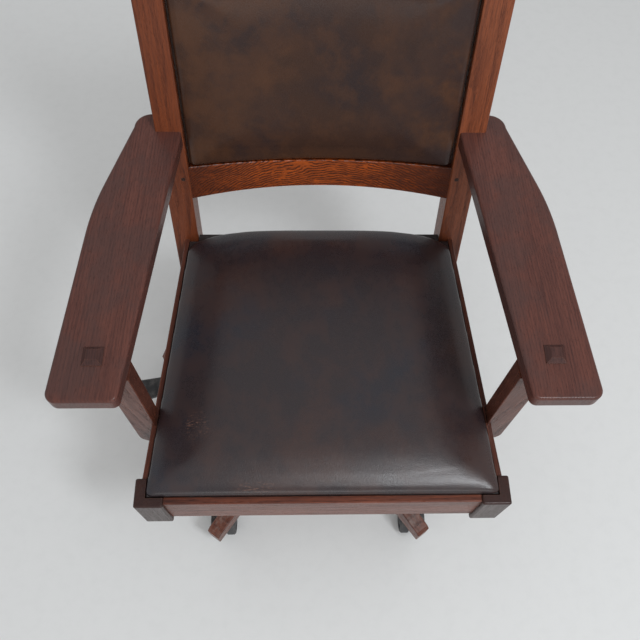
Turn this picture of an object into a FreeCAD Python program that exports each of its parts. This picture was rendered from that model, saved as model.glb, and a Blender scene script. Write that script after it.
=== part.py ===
"""Oak swivel desk chair with arms, leather seat and back, tilt mechanism and five casters.

Millimetres. X runs across the chair, +Y runs to the back, +Z is up. The origin is on the floor,
midway between the front of the seat frame and the back of the rear caster.
"""
import FreeCAD, Part
import math
import os
import Sketcher

Vector = FreeCAD.Vector
doc = FreeCAD.newDocument("desk_chair")

# The driving dimensions. A setback is measured from the front faces of the corner blocks.
SIZES = {
    # Places shared by several pieces
    "swivel_setback": 300.0,
    "ease_small": 1.5,
    "ease_large": 4.0,
    "cut_overrun": 5.0,
    "soft_gap": 0.5,
    # Front corner blocks
    "block_outer_x": 270.5,
    "block_width": 42.0,
    "block_depth": 42.0,
    "block_top_z": 454.0,
    "block_height": 100.0,
    "block_side_strip": 16.0,
    "block_front_strip": 13.5,
    "block_ease": 3.0,
    # Seat rails
    "rail_top_z": 449.5,
    "rail_height": 82.0,
    "rail_thickness": 25.0,
    "rail_ledge_drop": 15.5,
    "front_rail_setback": 5.0,
    "front_lip": 10.0,
    "side_lip": 7.5,
    "side_rail_front_x": 262.0,
    "side_rail_angle": 4.5,
    "rear_rail_thickness": 18.5,
    "tenon_length": 20.0,
    "tenon_thickness": 10.0,
    "tenon_shoulder": 12.0,
    "rear_tenon_length": 8.0,
    # Bearers that carry the mechanism, and the corner braces
    "bearer_x": 85.0,
    "bearer_width": 60.0,
    "bearer_thickness": 28.0,
    "bearer_rise": 4.5,
    "bearer_tenon": 8.0,
    "brace_leg": 60.0,
    "brace_height": 28.0,
    # Seat board and cushion
    "board_gap": 1.0,
    "cushion_edge_height": 17.0,
    "cushion_crown": 12.0,
    "cushion_crown_run": 150.0,
    "cushion_front_corner": 16.0,
    "cushion_rear_corner_length": 48.0,
    "cushion_rear_corner_width": 65.0,
    "cushion_front_setback": 15.0,
    "cushion_rear_setback": 466.0,
    "cushion_front_half": 255.0,
    "cushion_side_angle": 4.5,
    "cushion_tuck": 5.0,
    # Back posts
    "post_inner_x": 207.0,
    "post_width": 40.5,
    "post_depth": 45.0,
    "post_lean_angle": 14.5,
    "post_setback": 455.5,
    "post_top_z": 960.0,
    "post_ease": 2.0,
    "post_top_bevel": 5.0,
    # Back rails, measured up the slope of the posts from the level of the seat rails
    "back_rail_low": 86.0,
    "back_rail_height": 60.0,
    "top_rail_drop": 81.3,
    "top_rail_height": 66.0,
    "back_rail_thickness": 25.0,
    "back_rail_setback": 3.0,
    "back_bow": 21.0,
    "back_rail_arch": 11.0,
    "top_rail_arch": 9.0,
    "rail_pin_radius": 3.5,
    "rail_pin_length": 32.0,
    # Back board and back cushion
    "back_board_thickness": 9.0,
    "back_board_setback": 15.0,
    "back_cushion_proud": 3.0,
    "back_cushion_crown": 9.0,
    "back_cushion_gap": 2.0,
    # Arms
    "arm_top_z": 656.0,
    "arm_thickness": 25.0,
    "arm_front_setback": 83.5,
    "arm_inner_front_x": 255.8,
    "arm_inner_angle": 6.3,
    "arm_outer_front_x": 344.0,
    "arm_inner_corner": 8.0,
    "arm_outer_corner": 14.0,
    "arm_waist_x": 323.5,
    "arm_waist_setback": 372.0,
    "arm_waist_run": 42.0,
    "arm_tail_x": 280.0,
    "arm_tail_setback": 520.0,
    "arm_end_setback": 545.5,
    # Square pegs on the arms and the screws under them
    "peg_width": 26.0,
    "peg_x": 291.0,
    "peg_setback": 144.0,
    "peg_proud": 7.0,
    "peg_bevel": 6.0,
    "peg_depth": 12.0,
    # Arm supports
    "support_inner_x": 249.3,
    "support_width": 35.5,
    "support_setback": 121.3,
    "support_depth": 27.7,
    "support_rise": 4.5,
    "support_foot_radius": 28.0,
    "support_flare_width": 33.0,
    "support_flare_height": 86.0,
    # Wood screws
    "screw_radius": 2.5,
    "screw_head_radius": 5.0,
    "screw_head_height": 3.0,
    "arm_screw_length": 55.0,
    "support_screw_length": 42.0,
    "support_screw_edge": 22.0,
    "plate_screw_length": 20.0,
    # Star base
    "leg_width": 27.0,
    "leg_reach": 340.0,
    "leg_tip_top_z": 102.0,
    "leg_tip_bottom_z": 62.0,
    "leg_hub_top_z": 152.0,
    "leg_hub_bottom_z": 92.0,
    "leg_pad_length": 52.0,
    "leg_tip_bevel": 6.0,
    "leg_ease": 2.5,
    "hub_apothem": 40.0,
    "hub_top_z": 158.0,
    "hub_plate_radius": 92.0,
    "hub_plate_thickness": 4.0,
    "leg_screw_circle": 68.0,
    "leg_screw_length": 26.0,
    # Casters
    "stem_inset": 22.0,
    "stem_radius": 5.5,
    "stem_flange_radius": 12.0,
    "stem_flange_thickness": 2.0,
    "stem_rise": 30.0,
    "stem_drop": 10.5,
    "stem_floor": 1.5,
    "caster_trail": 20.0,
    "wheel_radius": 25.0,
    "wheel_width": 17.0,
    "wheel_inner_x": 6.5,
    "wheel_ease": 3.0,
    "axle_radius": 4.0,
    "hood_web": 10.0,
    "hood_boss_radius": 10.5,
    "hood_cover_thickness": 2.2,
    "hood_cover_gap": 0.9,
    "hood_sweep_angle": 130.0,
    "running_gap": 0.05,
    # Gas column
    "column_radius": 25.0,
    "column_wall": 2.0,
    "column_bottom_z": 45.0,
    "column_floor": 5.0,
    "column_top_z": 225.0,
    "bushing_length": 60.0,
    "bushing_flange": 3.0,
    "lift_radius": 14.0,
    "lift_wall": 2.0,
    "lift_top_radius": 13.2,
    "lift_bottom_z": 75.0,
    "lift_top_z": 335.0,
    "lift_head": 20.0,
    "lift_floor": 6.0,
    "rod_radius": 5.0,
    "rod_bottom_z": 40.0,
    "rod_shoulder_radius": 9.0,
    "rod_shoulder_height": 3.0,
    "bearing_radius": 14.0,
    "bearing_height": 8.0,
    "piston_height": 12.0,
    "piston_gap": 2.0,
    "valve_radius": 3.0,
    "valve_proud": 5.6,
    "valve_depth": 14.0,
    # Mechanism housing
    "housing_half_width": 35.0,
    "housing_wall": 3.0,
    "housing_floor_z": 318.0,
    "housing_wall_z": 356.0,
    "housing_front_setback": 165.0,
    "housing_rear_setback": 328.0,
    "housing_rear_z": 340.0,
    "stop_front_setback": 204.0,
    "stop_length": 20.0,
    "socket_radius": 21.0,
    "socket_bottom_z": 300.0,
    # Tilt pin, seat plate and its ears
    "tilt_pin_setback": 262.0,
    "tilt_pin_z": 342.0,
    "tilt_pin_radius": 5.0,
    "plate_thickness": 3.0,
    "plate_half_width": 112.0,
    "plate_front_setback": 172.0,
    "plate_length": 200.0,
    "plate_corner": 12.0,
    "plate_screw_inset": 26.0,
    "ear_radius": 16.0,
    "ear_gap": 0.4,
    "pin_head": 3.0,
    "pin_head_radius": 8.0,
    # Tension bolt, spring and knob
    "bolt_setback": 185.0,
    "cross_pin_z": 348.0,
    "cross_pin_radius": 4.0,
    "bolt_radius": 4.0,
    "bolt_eye_radius": 9.0,
    "bolt_eye_half": 6.0,
    "lug_gap": 0.4,
    "lug_radius": 9.0,
    "bolt_bottom_z": 212.0,
    "slot_half_width": 4.8,
    "slot_travel": 4.5,
    "spring_length": 60.0,
    "spring_radius": 15.0,
    "spring_wire": 4.0,
    "washer_radius": 17.0,
    "washer_thickness": 3.0,
    "knob_radius": 19.0,
    "knob_height": 36.0,
    "knob_neck_radius": 12.0,
    "knob_neck_height": 8.0,
    # Height lever
    "lever_radius": 5.0,
    "lever_angle": 15.2,
    "lever_inner": 6.0,
    "lever_rod_reach": 276.0,
    "lever_valve_gap": 0.35,
    "lever_hole_gap": 1.0,
    "paddle_socket_depth": 14.0,
    "paddle_length": 70.0,
    "paddle_width_inner": 28.0,
    "paddle_width_outer": 38.0,
    "paddle_thickness": 11.0,
}

sheet = doc.addObject("Spreadsheet::Sheet", "size")
for row, (alias, value) in enumerate(SIZES.items(), start=1):
    sheet.set(f"A{row}", alias)
    sheet.set(f"B{row}", str(value))
    sheet.setAlias(f"B{row}", alias)
doc.recompute()


class Size:
    """A number with the expression that gives it, so that sums of sizes stay bound to the sheet."""

    def __init__(self, number, text):
        self.number = float(number)
        self.text = text

    def __float__(self):
        return self.number

    def __add__(self, other):
        return Size(self.number + float(other), f"({self.text} + {text_of(other)})")

    def __radd__(self, other):
        return Size(float(other) + self.number, f"({text_of(other)} + {self.text})")

    def __sub__(self, other):
        return Size(self.number - float(other), f"({self.text} - {text_of(other)})")

    def __rsub__(self, other):
        return Size(float(other) - self.number, f"({text_of(other)} - {self.text})")

    def __mul__(self, other):
        return Size(self.number * float(other), f"({self.text} * {text_of(other)})")

    def __rmul__(self, other):
        return Size(float(other) * self.number, f"({text_of(other)} * {self.text})")

    def __truediv__(self, other):
        return Size(self.number / float(other), f"({self.text} / {text_of(other)})")

    def __neg__(self):
        return Size(-self.number, f"(0 - {self.text})")


def text_of(value):
    return value.text if isinstance(value, Size) else f"({float(value)!r})"


def sine(angle):
    return Size(math.sin(math.radians(float(angle))), f"sin({text_of(angle)})")


def cosine(angle):
    return Size(math.cos(math.radians(float(angle))), f"cos({text_of(angle)})")


def tangent(angle):
    return Size(math.tan(math.radians(float(angle))), f"tan({text_of(angle)})")


def arc_sine(share):
    return Size(math.degrees(math.asin(float(share))), f"asin({text_of(share)})")


class Sizes:
    """The sheet's cells as attributes, each a Size."""

    def __getattr__(self, alias):
        return Size(SIZES[alias], f"size.{alias}")


size = Sizes()
nodes = {}

# Places closer than this count as the same when edges are picked
TINY = 0.01

# Unit directions
ALONG_X = Vector(1, 0, 0)
ALONG_Y = Vector(0, 1, 0)
ALONG_Z = Vector(0, 0, 1)


def bind(thing, name, value):
    """Tie one property of a document object to the sheet."""
    thing.setExpression(name, text_of(value))


def node(label, thing):
    """Name a finished sub-part."""
    thing.Label = label
    nodes[label] = thing
    return thing


def place(thing, x, y, z, axis=ALONG_Z, angle=0.0):
    """Put a finished object at a point, turned about an axis through that point."""
    thing.Placement = FreeCAD.Placement(
        Vector(float(x), float(y), float(z)), FreeCAD.Rotation(axis, float(angle))
    )
    places = {"Base.x": x, "Base.y": y, "Base.z": z, "Rotation.Angle": angle}
    for name, value in places.items():
        if isinstance(value, Size):
            bind(thing, "Placement." + name, value)
    return thing


class Via:
    """A point that the edge between its two neighbours bends through, as an arc."""

    def __init__(self, across, up):
        self.point = (across, up)


def flat(point):
    return Vector(float(point[0]), float(point[1]), 0)


def pin_down(sketch, geometry, position, point):
    """Fix one sketch point at its two coordinates, both bound to the sheet."""
    for kind, value in zip(("DistanceX", "DistanceY"), point):
        index = sketch.addConstraint(
            Sketcher.Constraint(kind, -1, 1, geometry, position, float(value))
        )
        if isinstance(value, Size):
            sketch.setExpression(f"Constraints[{index}]", value.text)


def draw(sketch, outline):
    """Draw a closed outline of straight edges and arcs, every corner placed by the sheet."""
    corners = [point for point in outline if not isinstance(point, Via)]
    bends = {}
    for position, point in enumerate(outline):
        if isinstance(point, Via):
            before = sum(not isinstance(other, Via) for other in outline[:position]) - 1
            bends[before] = point.point
    edges = []
    for number, corner in enumerate(corners):
        following = corners[(number + 1) % len(corners)]
        if number in bends:
            edges.append(Part.Arc(flat(corner), flat(bends[number]), flat(following)))
        else:
            edges.append(Part.LineSegment(flat(corner), flat(following)))
    sketch.addGeometry(edges, False)
    starts = []
    for number, corner in enumerate(corners):
        gap_first = (sketch.getPoint(number, 1) - flat(corner)).Length
        gap_second = (sketch.getPoint(number, 2) - flat(corner)).Length
        starts.append(1 if gap_first < gap_second else 2)
    joints = []
    for number in range(len(corners)):
        following = (number + 1) % len(corners)
        joints.append(
            Sketcher.Constraint("Coincident", number, 3 - starts[number], following, starts[following])
        )
    sketch.addConstraint(joints)
    for number, corner in enumerate(corners):
        pin_down(sketch, number, starts[number], corner)
    for number, bend in bends.items():
        index = sketch.addGeometry(Part.Point(flat(bend)), True)
        pin_down(sketch, index, 1, bend)
        sketch.addConstraint(Sketcher.Constraint("PointOnObject", index, 1, number))


def sketch_on(body, plane, outline, level):
    """A sketch on one of the body's own origin planes, moved along the plane's normal."""
    sketch = body.newObject("Sketcher::SketchObject", body.Name + "_outline")
    origin_plane = next(part for part in body.Origin.OriginFeatures if part.Role == plane + "_Plane")
    sketch.AttachmentSupport = (origin_plane, [""])
    sketch.MapMode = "FlatFace"
    if isinstance(level, Size):
        bind(sketch, "AttachmentOffset.Base.z", level)
    draw(sketch, outline)
    return sketch


def pad(body, plane, outline, low, high):
    """Add a straight-sided block to a body, from low to high along the plane's normal axis."""
    if plane == "XZ":
        low, high = -high, -low
    sketch = sketch_on(body, plane, outline, low)
    feature = body.newObject("PartDesign::Pad", body.Name + "_pad")
    feature.Profile = sketch
    bind(feature, "Length", high - low)
    return body


def pocket(body, plane, outline, low, high):
    """Cut a straight-sided hollow in a body, and make sure that it removes something."""
    if plane == "XZ":
        low, high = -high, -low
    doc.recompute()
    before = body.Shape.Volume
    sketch = sketch_on(body, plane, outline, high)
    feature = body.newObject("PartDesign::Pocket", body.Name + "_pocket")
    feature.Profile = sketch
    bind(feature, "Length", high - low)
    doc.recompute()
    if not body.Shape.Volume < before:
        raise RuntimeError(f"a pocket in {body.Name} cuts nothing")
    return body


def new_body(name):
    body = doc.addObject("PartDesign::Body", name)
    body.Label = name
    return body


def prism(name, plane, outline, low, high):
    """A body that is one outline carried straight from low to high."""
    return pad(new_body(name), plane, outline, low, high)


def turned(name, profile):
    """A body turned about its own Z axis from a profile of radius and height."""
    body = new_body(name)
    sketch = sketch_on(body, "XZ", profile, 0)
    feature = body.newObject("PartDesign::Revolution", name + "_turning")
    feature.Profile = sketch
    feature.ReferenceAxis = (sketch, ["V_Axis"])
    return body


def ease(body, radius, wanted, kind="Fillet"):
    """Round, or bevel, the edges of a body's last feature that wanted() picks."""
    doc.recompute()
    tip = body.Tip
    names = [f"Edge{index}" for index, edge in enumerate(tip.Shape.Edges, start=1) if wanted(edge)]
    feature = body.newObject("PartDesign::" + kind, body.Name + "_" + kind.lower())
    feature.Base = (tip, names)
    bind(feature, "Radius" if kind == "Fillet" else "Size", radius)
    return body


def rectangle(x_range, y_range):
    (x_low, x_high), (y_low, y_high) = x_range, y_range
    return [(x_low, y_low), (x_high, y_low), (x_high, y_high), (x_low, y_high)]


def circle(radius, x=0, y=0):
    return [(x - radius, y), Via(x, y - radius), (x + radius, y), Via(x, y + radius)]


def across(side, near, far):
    """The low and high X of a span given for the right side, on either side of the chair."""
    return (near, far) if side > 0 else (-far, -near)


def cut(name, base, *tools):
    """Take the shapes of other pieces out of one, so that a joint always fits its mate."""
    for number, tool in enumerate(tools, start=1):
        feature = doc.addObject("Part::Cut", f"{name}_less_{number}")
        feature.Base = base
        feature.Tool = tool
        base = feature
    return base


def group(name, members):
    feature = doc.addObject("Part::Compound", name + "_set")
    feature.Links = members
    return feature


def flat_edge_at(height):
    """Picks the edges that lie wholly at one height."""
    return lambda edge: (
        abs(edge.BoundBox.ZMin - float(height)) < TINY and abs(edge.BoundBox.ZMax - float(height)) < TINY
    )


def runs_along(direction):
    """Picks the straight edges that run along one direction."""

    def wanted(edge):
        if edge.Curve.TypeId != "Part::GeomLine":
            return False
        return abs(edge.Curve.Direction.dot(direction)) > math.cos(math.radians(5))

    return wanted


# Derived places that several pieces share
rear_reach = (
    size.swivel_setback + size.leg_reach - size.stem_inset + size.caster_trail
    + size.wheel_radius + size.hood_cover_gap + size.hood_cover_thickness
)
front_y = -rear_reach / 2


def back(setback):
    """The Y of something that lies this far behind the front faces of the corner blocks."""
    return front_y + setback


swivel_y = back(size.swivel_setback)
rail_bottom_z = size.rail_top_z - size.rail_height
ledge_z = size.rail_top_z - size.rail_ledge_drop
block_inner_x = size.block_outer_x - size.block_width
post_outer_x = size.post_inner_x + size.post_width
side_rail_width = size.rail_thickness / cosine(size.side_rail_angle)
arm_bottom_z = size.arm_top_z - size.arm_thickness
top_rail_low = (size.post_top_z - size.rail_top_z) / cosine(size.post_lean_angle) - size.top_rail_drop
SIDES = {"left": -1, "right": 1}
STAR_POINTS = 5
STAR_STEP = 360 / STAR_POINTS


def post_face_y(height):
    """The Y of the leaning front face of the back posts at one height."""
    return back(size.post_setback) + (height - size.rail_top_z) * tangent(size.post_lean_angle)


def side_rail_x(y):
    """The outer face of the right side rail at one Y."""
    return size.side_rail_front_x - (y - back(size.block_depth)) * tangent(size.side_rail_angle)


def lean(body):
    """Set a body that is drawn upright into the plane of the posts' front faces."""
    return place(body, 0, back(size.post_setback), size.rail_top_z, -ALONG_X, size.post_lean_angle)


def wood_screw(name, length):
    """A countersunk wood screw with its head's face at the origin and its point down -Z."""
    return turned(name, [
        (0, 0),
        (size.screw_head_radius, 0),
        (size.screw_head_radius, -size.screw_head_height / 3),
        (size.screw_radius, -size.screw_head_height),
        (size.screw_radius, size.screw_radius - length),
        (0, -length),
    ])


def seat_frame():
    """The rails, corner blocks, bearers and braces that hold the seat board."""
    low, top = rail_bottom_z, size.rail_top_z
    front_face = back(size.front_rail_setback)
    front_back = front_face + size.rail_thickness

    front_rail = prism("front_rail_form", "YZ", [
        (front_face, low),
        (front_back, low),
        (front_back, ledge_z),
        (front_face + size.front_lip, ledge_z),
        (front_face + size.front_lip, top),
        (front_face, top),
    ], -block_inner_x, block_inner_x)
    ease(front_rail, size.ease_small, lambda edge: runs_along(ALONG_X)(edge)
         and edge.CenterOfMass.y < float(front_face) + TINY)
    tenon_y = back(size.block_front_strip - size.cut_overrun / 2)
    pad(front_rail, "YZ", rectangle(
        (tenon_y, tenon_y + size.tenon_thickness),
        (low + size.tenon_shoulder, ledge_z - size.tenon_shoulder / 2),
    ), -block_inner_x - size.tenon_length, block_inner_x + size.tenon_length)

    rear_face_low, rear_face_top = post_face_y(low), post_face_y(top)
    rear_rail = prism("rear_rail_form", "YZ", [
        (rear_face_low, low),
        (rear_face_low + size.rear_rail_thickness, low),
        (post_face_y(ledge_z) + size.rear_rail_thickness, ledge_z),
        (post_face_y(ledge_z), ledge_z),
    ], -size.post_inner_x, size.post_inner_x)
    rear_low = low + size.tenon_shoulder
    rear_high = ledge_z - size.tenon_shoulder
    rear_inset = (size.rear_rail_thickness - size.tenon_thickness) / 2
    pad(rear_rail, "YZ", [
        (post_face_y(rear_low) + rear_inset, rear_low),
        (post_face_y(rear_low) + rear_inset + size.tenon_thickness, rear_low),
        (post_face_y(rear_high) + rear_inset + size.tenon_thickness, rear_high),
        (post_face_y(rear_high) + rear_inset, rear_high),
    ], -size.post_inner_x - size.rear_tenon_length, size.post_inner_x + size.rear_tenon_length)
    node("seat_rear_rail", rear_rail)

    behind_posts = prism("space_behind_post_faces", "YZ", [
        (post_face_y(low - size.cut_overrun), low - size.cut_overrun),
        (post_face_y(low - size.cut_overrun) + size.post_depth * 2, low - size.cut_overrun),
        (post_face_y(top + size.cut_overrun) + size.post_depth * 2, top + size.cut_overrun),
        (post_face_y(top + size.cut_overrun), top + size.cut_overrun),
    ], -size.block_outer_x, size.block_outer_x)

    supports, screws = arm_supports()
    side_rails = {}
    for name, side in SIDES.items():
        near, far = back(size.block_depth), rear_face_top + size.tenon_length
        rail = prism(f"side_rail_{name}_form", "XY", [
            (side * side_rail_x(near), near),
            (side * side_rail_x(far), far),
            (side * (side_rail_x(far) - side_rail_width), far),
            (side * (side_rail_x(near) - side_rail_width), near),
        ], low, top)
        outer = side * (float(side_rail_x(near)) + float(side_rail_x(far))) / 2
        ease(rail, size.ease_small, lambda edge: runs_along(ALONG_Y)(edge)
             and abs(edge.CenterOfMass.x - outer) < TINY)
        lip_line = size.side_lip / cosine(size.side_rail_angle)
        pocket(rail, "XY", [
            (side * (side_rail_x(near) - lip_line), near - size.cut_overrun),
            (side * (side_rail_x(far) - lip_line), far + size.cut_overrun),
            (side * (side_rail_x(far) - size.rail_thickness * 2), far + size.cut_overrun),
            (side * (side_rail_x(near) - size.rail_thickness * 2), near - size.cut_overrun),
        ], ledge_z, top + size.cut_overrun)
        shoulder = cut(f"side_rail_{name}", rail, behind_posts, supports[name], screws[name])
        middle = side_rail_x(near) - side_rail_width / 2
        front_tenon = prism(f"side_rail_{name}_front_tenon", "XY", rectangle(
            across(side, middle - size.tenon_thickness / 2, middle + size.tenon_thickness / 2),
            (near - size.tenon_length, near),
        ), low + size.tenon_shoulder, ledge_z - size.tenon_shoulder)
        rear_x = size.post_inner_x + size.rear_tenon_length
        rear_tenon = prism(f"side_rail_{name}_rear_tenon", "XY", rectangle(
            across(side, rear_x, rear_x + size.tenon_thickness),
            (rear_face_low - size.tenon_length / 2, rear_face_top + size.tenon_length / 2),
        ), low + size.tenon_shoulder, ledge_z - size.tenon_shoulder)
        rail = doc.addObject("Part::MultiFuse", f"side_rail_{name}_whole")
        rail.Shapes = [shoulder, front_tenon, rear_tenon]
        side_rails[name] = node(f"seat_side_rail_{name}", rail)

    for name, side in SIDES.items():
        block = prism(f"corner_block_{name}_form", "XY", rectangle(
            across(side, block_inner_x, size.block_outer_x), (back(0), back(size.block_depth)),
        ), size.block_top_z - size.block_height, size.block_top_z)
        ease(block, size.block_ease, lambda edge: edge.Length > 0)
        strip_x = size.block_outer_x - size.block_side_strip
        pocket(block, "XY", rectangle(
            across(side, block_inner_x - size.cut_overrun, strip_x),
            (back(size.block_front_strip), back(size.block_depth + size.cut_overrun)),
        ), ledge_z, size.block_top_z + size.cut_overrun)
        node(f"corner_block_{name}",
             cut(f"corner_block_{name}", block, front_rail, side_rails[name]))

    bearers = []
    for name, side in SIDES.items():
        bearer_low = low + size.bearer_rise
        bearer_high = bearer_low + size.bearer_thickness
        span = across(side, size.bearer_x - size.bearer_width / 2, size.bearer_x + size.bearer_width / 2)
        bearer = prism(f"bearer_{name}_form", "YZ", [
            (front_back, bearer_low),
            (post_face_y(bearer_low), bearer_low),
            (post_face_y(bearer_high), bearer_high),
            (front_back, bearer_high),
        ], *span)
        tenon_low = bearer_low + size.bearer_thickness / 3
        tenon_high = bearer_high - size.bearer_thickness / 3
        pad(bearer, "YZ", rectangle(
            (front_back - size.bearer_tenon, front_back), (tenon_low, tenon_high)), *span)
        bearers.append(bearer)
    front_rail = cut("front_rail", front_rail, *bearers)
    node("seat_front_rail", front_rail)

    braces = []
    brace_low = ledge_z - size.brace_height
    for name, side in SIDES.items():
        inner = lambda y: side_rail_x(y) - side_rail_width
        near = back(size.block_depth)
        far = near + size.brace_leg
        braces.append(prism(f"front_brace_{name}", "XY", [
            (side * block_inner_x, front_back),
            (side * (block_inner_x - size.brace_leg), front_back),
            (side * inner(far), far),
            (side * inner(near), near),
            (side * block_inner_x, near),
        ], brace_low, ledge_z))
        near = post_face_y(brace_low) - size.brace_leg
        far = post_face_y(ledge_z)
        brace = prism(f"rear_brace_{name}", "XY", [
            (side * inner(near), near),
            (side * inner(far), far),
            (side * (inner(far) - size.brace_leg), far),
        ], brace_low, ledge_z)
        braces.append(cut(f"rear_brace_{name}", brace, behind_posts))
    node("corner_braces", group("corner_braces", braces))
    return bearers, side_rails, rear_rail


def arm_supports():
    """The board under each arm, rounded at its foot and flared under the arm, with its screws."""
    supports, screws = {}, {}
    inner, outer = size.support_inner_x, size.support_inner_x + size.support_width
    foot = rail_bottom_z + size.support_rise
    radius = size.support_foot_radius
    flare_radius = (size.support_flare_width * size.support_flare_width
                    + size.support_flare_height * size.support_flare_height) / (size.support_flare_width * 2)
    flare_start = arm_bottom_z - size.support_flare_height
    half_turn = arc_sine(size.support_flare_height / flare_radius) / 2
    for name, side in SIDES.items():
        support = prism(f"arm_support_{name}_form", "XZ", [
            (side * inner, foot),
            (side * (outer - radius), foot),
            Via(side * (outer - radius + radius * sine(45)), foot + radius - radius * cosine(45)),
            (side * outer, foot + radius),
            (side * outer, flare_start),
            Via(side * (outer + flare_radius - flare_radius * cosine(half_turn)),
                flare_start + flare_radius * sine(half_turn)),
            (side * (outer + size.support_flare_width), arm_bottom_z),
            (side * inner, arm_bottom_z),
        ], back(size.support_setback), back(size.support_setback + size.support_depth))
        ease(support, size.ease_small, lambda edge: edge.BoundBox.YLength < TINY
             and edge.BoundBox.ZMin < float(arm_bottom_z) - TINY)
        head_x = side_rail_x(back(size.support_setback)) - side_rail_width
        middle_y = back(size.support_setback) + size.support_depth / 2
        heights = (rail_bottom_z + size.support_screw_edge, ledge_z - size.support_screw_edge)
        pair = []
        for number, height in enumerate(heights, start=1):
            screw = wood_screw(f"support_screw_{name}_{number}", size.support_screw_length)
            pair.append(place(screw, side * head_x, middle_y, height, ALONG_Y, -90 * side))
        screws[name] = group(f"support_screws_{name}", pair)
        supports[name] = cut(f"arm_support_{name}", support, screws[name])
    arm_screws = []
    for name, side in SIDES.items():
        screw = wood_screw(f"arm_screw_{name}", size.arm_screw_length)
        screw_z = size.arm_top_z - size.peg_depth
        arm_screws.append(place(screw, side * size.peg_x, back(size.support_setback)
                                + size.support_depth / 2, screw_z))
        supports[name] = node(f"arm_support_{name}", cut(f"arm_support_{name}_top", supports[name],
                                                         arm_screws[-1]))
    node("frame_screws", group("frame_screws", [*screws.values(), *arm_screws]))
    arms(dict(zip(SIDES, arm_screws)))
    return supports, screws


def arms(arm_screws):
    """The two flat arms, kept as forms until the posts that they are notched round exist."""
    slope = tangent(size.arm_inner_angle)
    front = back(size.arm_front_setback)

    def inner_x(y):
        return size.arm_inner_front_x - (y - front) * slope

    corner, wide = size.arm_inner_corner, size.arm_outer_corner
    turn = 1 - cosine(45)
    outer = size.arm_outer_front_x
    end = back(size.arm_end_setback)
    tail = back(size.arm_tail_setback)
    end_x = post_outer_x + size.arm_inner_corner
    # The bend at the waist is a soft curve, half way between the corner and the chord that cuts it off
    waist_x, waist_y, run = size.arm_waist_x, back(size.arm_waist_setback), size.arm_waist_run
    before_x = waist_x + (outer - waist_x) * (run / (waist_y - front - wide))
    after_x = waist_x - (waist_x - size.arm_tail_x) * (run / (tail - waist_y))
    pegs = []
    for name, side in SIDES.items():
        arm = prism(f"arm_{name}_form", "XY", [
            (side * (inner_x(front) + corner), front),
            (side * (outer - wide), front),
            Via(side * (outer - wide * turn), front + wide * turn),
            (side * outer, front + wide),
            (side * before_x, waist_y - run),
            Via(side * (waist_x / 2 + (before_x + after_x) / 4), waist_y),
            (side * after_x, waist_y + run),
            (side * size.arm_tail_x, tail),
            Via(side * (end_x + (size.arm_tail_x - end_x) * sine(45)), tail + (end - tail) * sine(45)),
            (side * end_x, end),
            (side * (size.post_inner_x + corner), end),
            (side * inner_x(post_face_y(size.arm_top_z)), post_face_y(arm_bottom_z)),
            (side * inner_x(front + corner), front + corner),
            Via(side * (inner_x(front) + corner * turn), front + corner * turn),
        ], arm_bottom_z, size.arm_top_z)
        notch_y = float(post_face_y(arm_bottom_z))
        ease(arm, size.ease_large, lambda edge: edge.BoundBox.ZLength < TINY
             and not (edge.BoundBox.YMax > notch_y and abs(edge.CenterOfMass.x) < float(end_x)))
        y_middle = back(size.peg_setback)
        half = size.peg_width / 2
        square = rectangle(across(side, size.peg_x - half, size.peg_x + half),
                           (y_middle - half, y_middle + half))
        pocket(arm, "XY", square, size.arm_top_z - size.peg_depth, size.arm_top_z + size.cut_overrun)
        peg_top = size.arm_top_z + size.peg_proud
        peg = prism(f"peg_{name}", "XY", square, size.arm_top_z - size.peg_depth, peg_top)
        ease(peg, size.peg_bevel, flat_edge_at(peg_top), "Chamfer")
        pegs.append(peg)
        nodes[f"arm_{name}"] = cut(f"arm_{name}", arm, arm_screws[name])
    node("arm_pegs", group("arm_pegs", pegs))


def back_rail(name, low, height, arch_below=0, arch_above=0):
    """A bowed rail between the posts, with an arched lower or upper edge and a tenon at each end."""
    inner = size.post_inner_x
    near = size.back_rail_setback
    far = near + size.back_rail_thickness
    rail = prism(name + "_form", "XY", [
        (-inner, near),
        Via(0, near + size.back_bow),
        (inner, near),
        (inner, far),
        Via(0, far + size.back_bow),
        (-inner, far),
    ], low, low + height + arch_above)
    straight = low if float(arch_above) > 0 else low + height
    ease(rail, size.ease_small, flat_edge_at(straight))
    depth = (-size.post_depth, size.post_depth + size.back_bow)
    if float(arch_below) > 0:
        pocket(rail, "XZ", [(-inner, low), (inner, low), Via(0, low + arch_below)], *depth)
    if float(arch_above) > 0:
        top = low + height
        roof = top + arch_above + size.cut_overrun
        pocket(rail, "XZ", [
            (-inner, top), (-inner, roof), (inner, roof), (inner, top), Via(0, top + arch_above),
        ], *depth)
    tenon_near = (near + far - size.tenon_thickness) / 2
    pad(rail, "XZ", rectangle(
        (-inner - size.tenon_length, -inner + size.tenon_length), (low + size.tenon_shoulder,
                                                                 low + height - size.tenon_shoulder),
    ), tenon_near, tenon_near + size.tenon_thickness)
    pad(rail, "XZ", rectangle(
        (inner - size.tenon_length, inner + size.tenon_length), (low + size.tenon_shoulder,
                                                               low + height - size.tenon_shoulder),
    ), tenon_near, tenon_near + size.tenon_thickness)
    return lean(rail)


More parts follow.
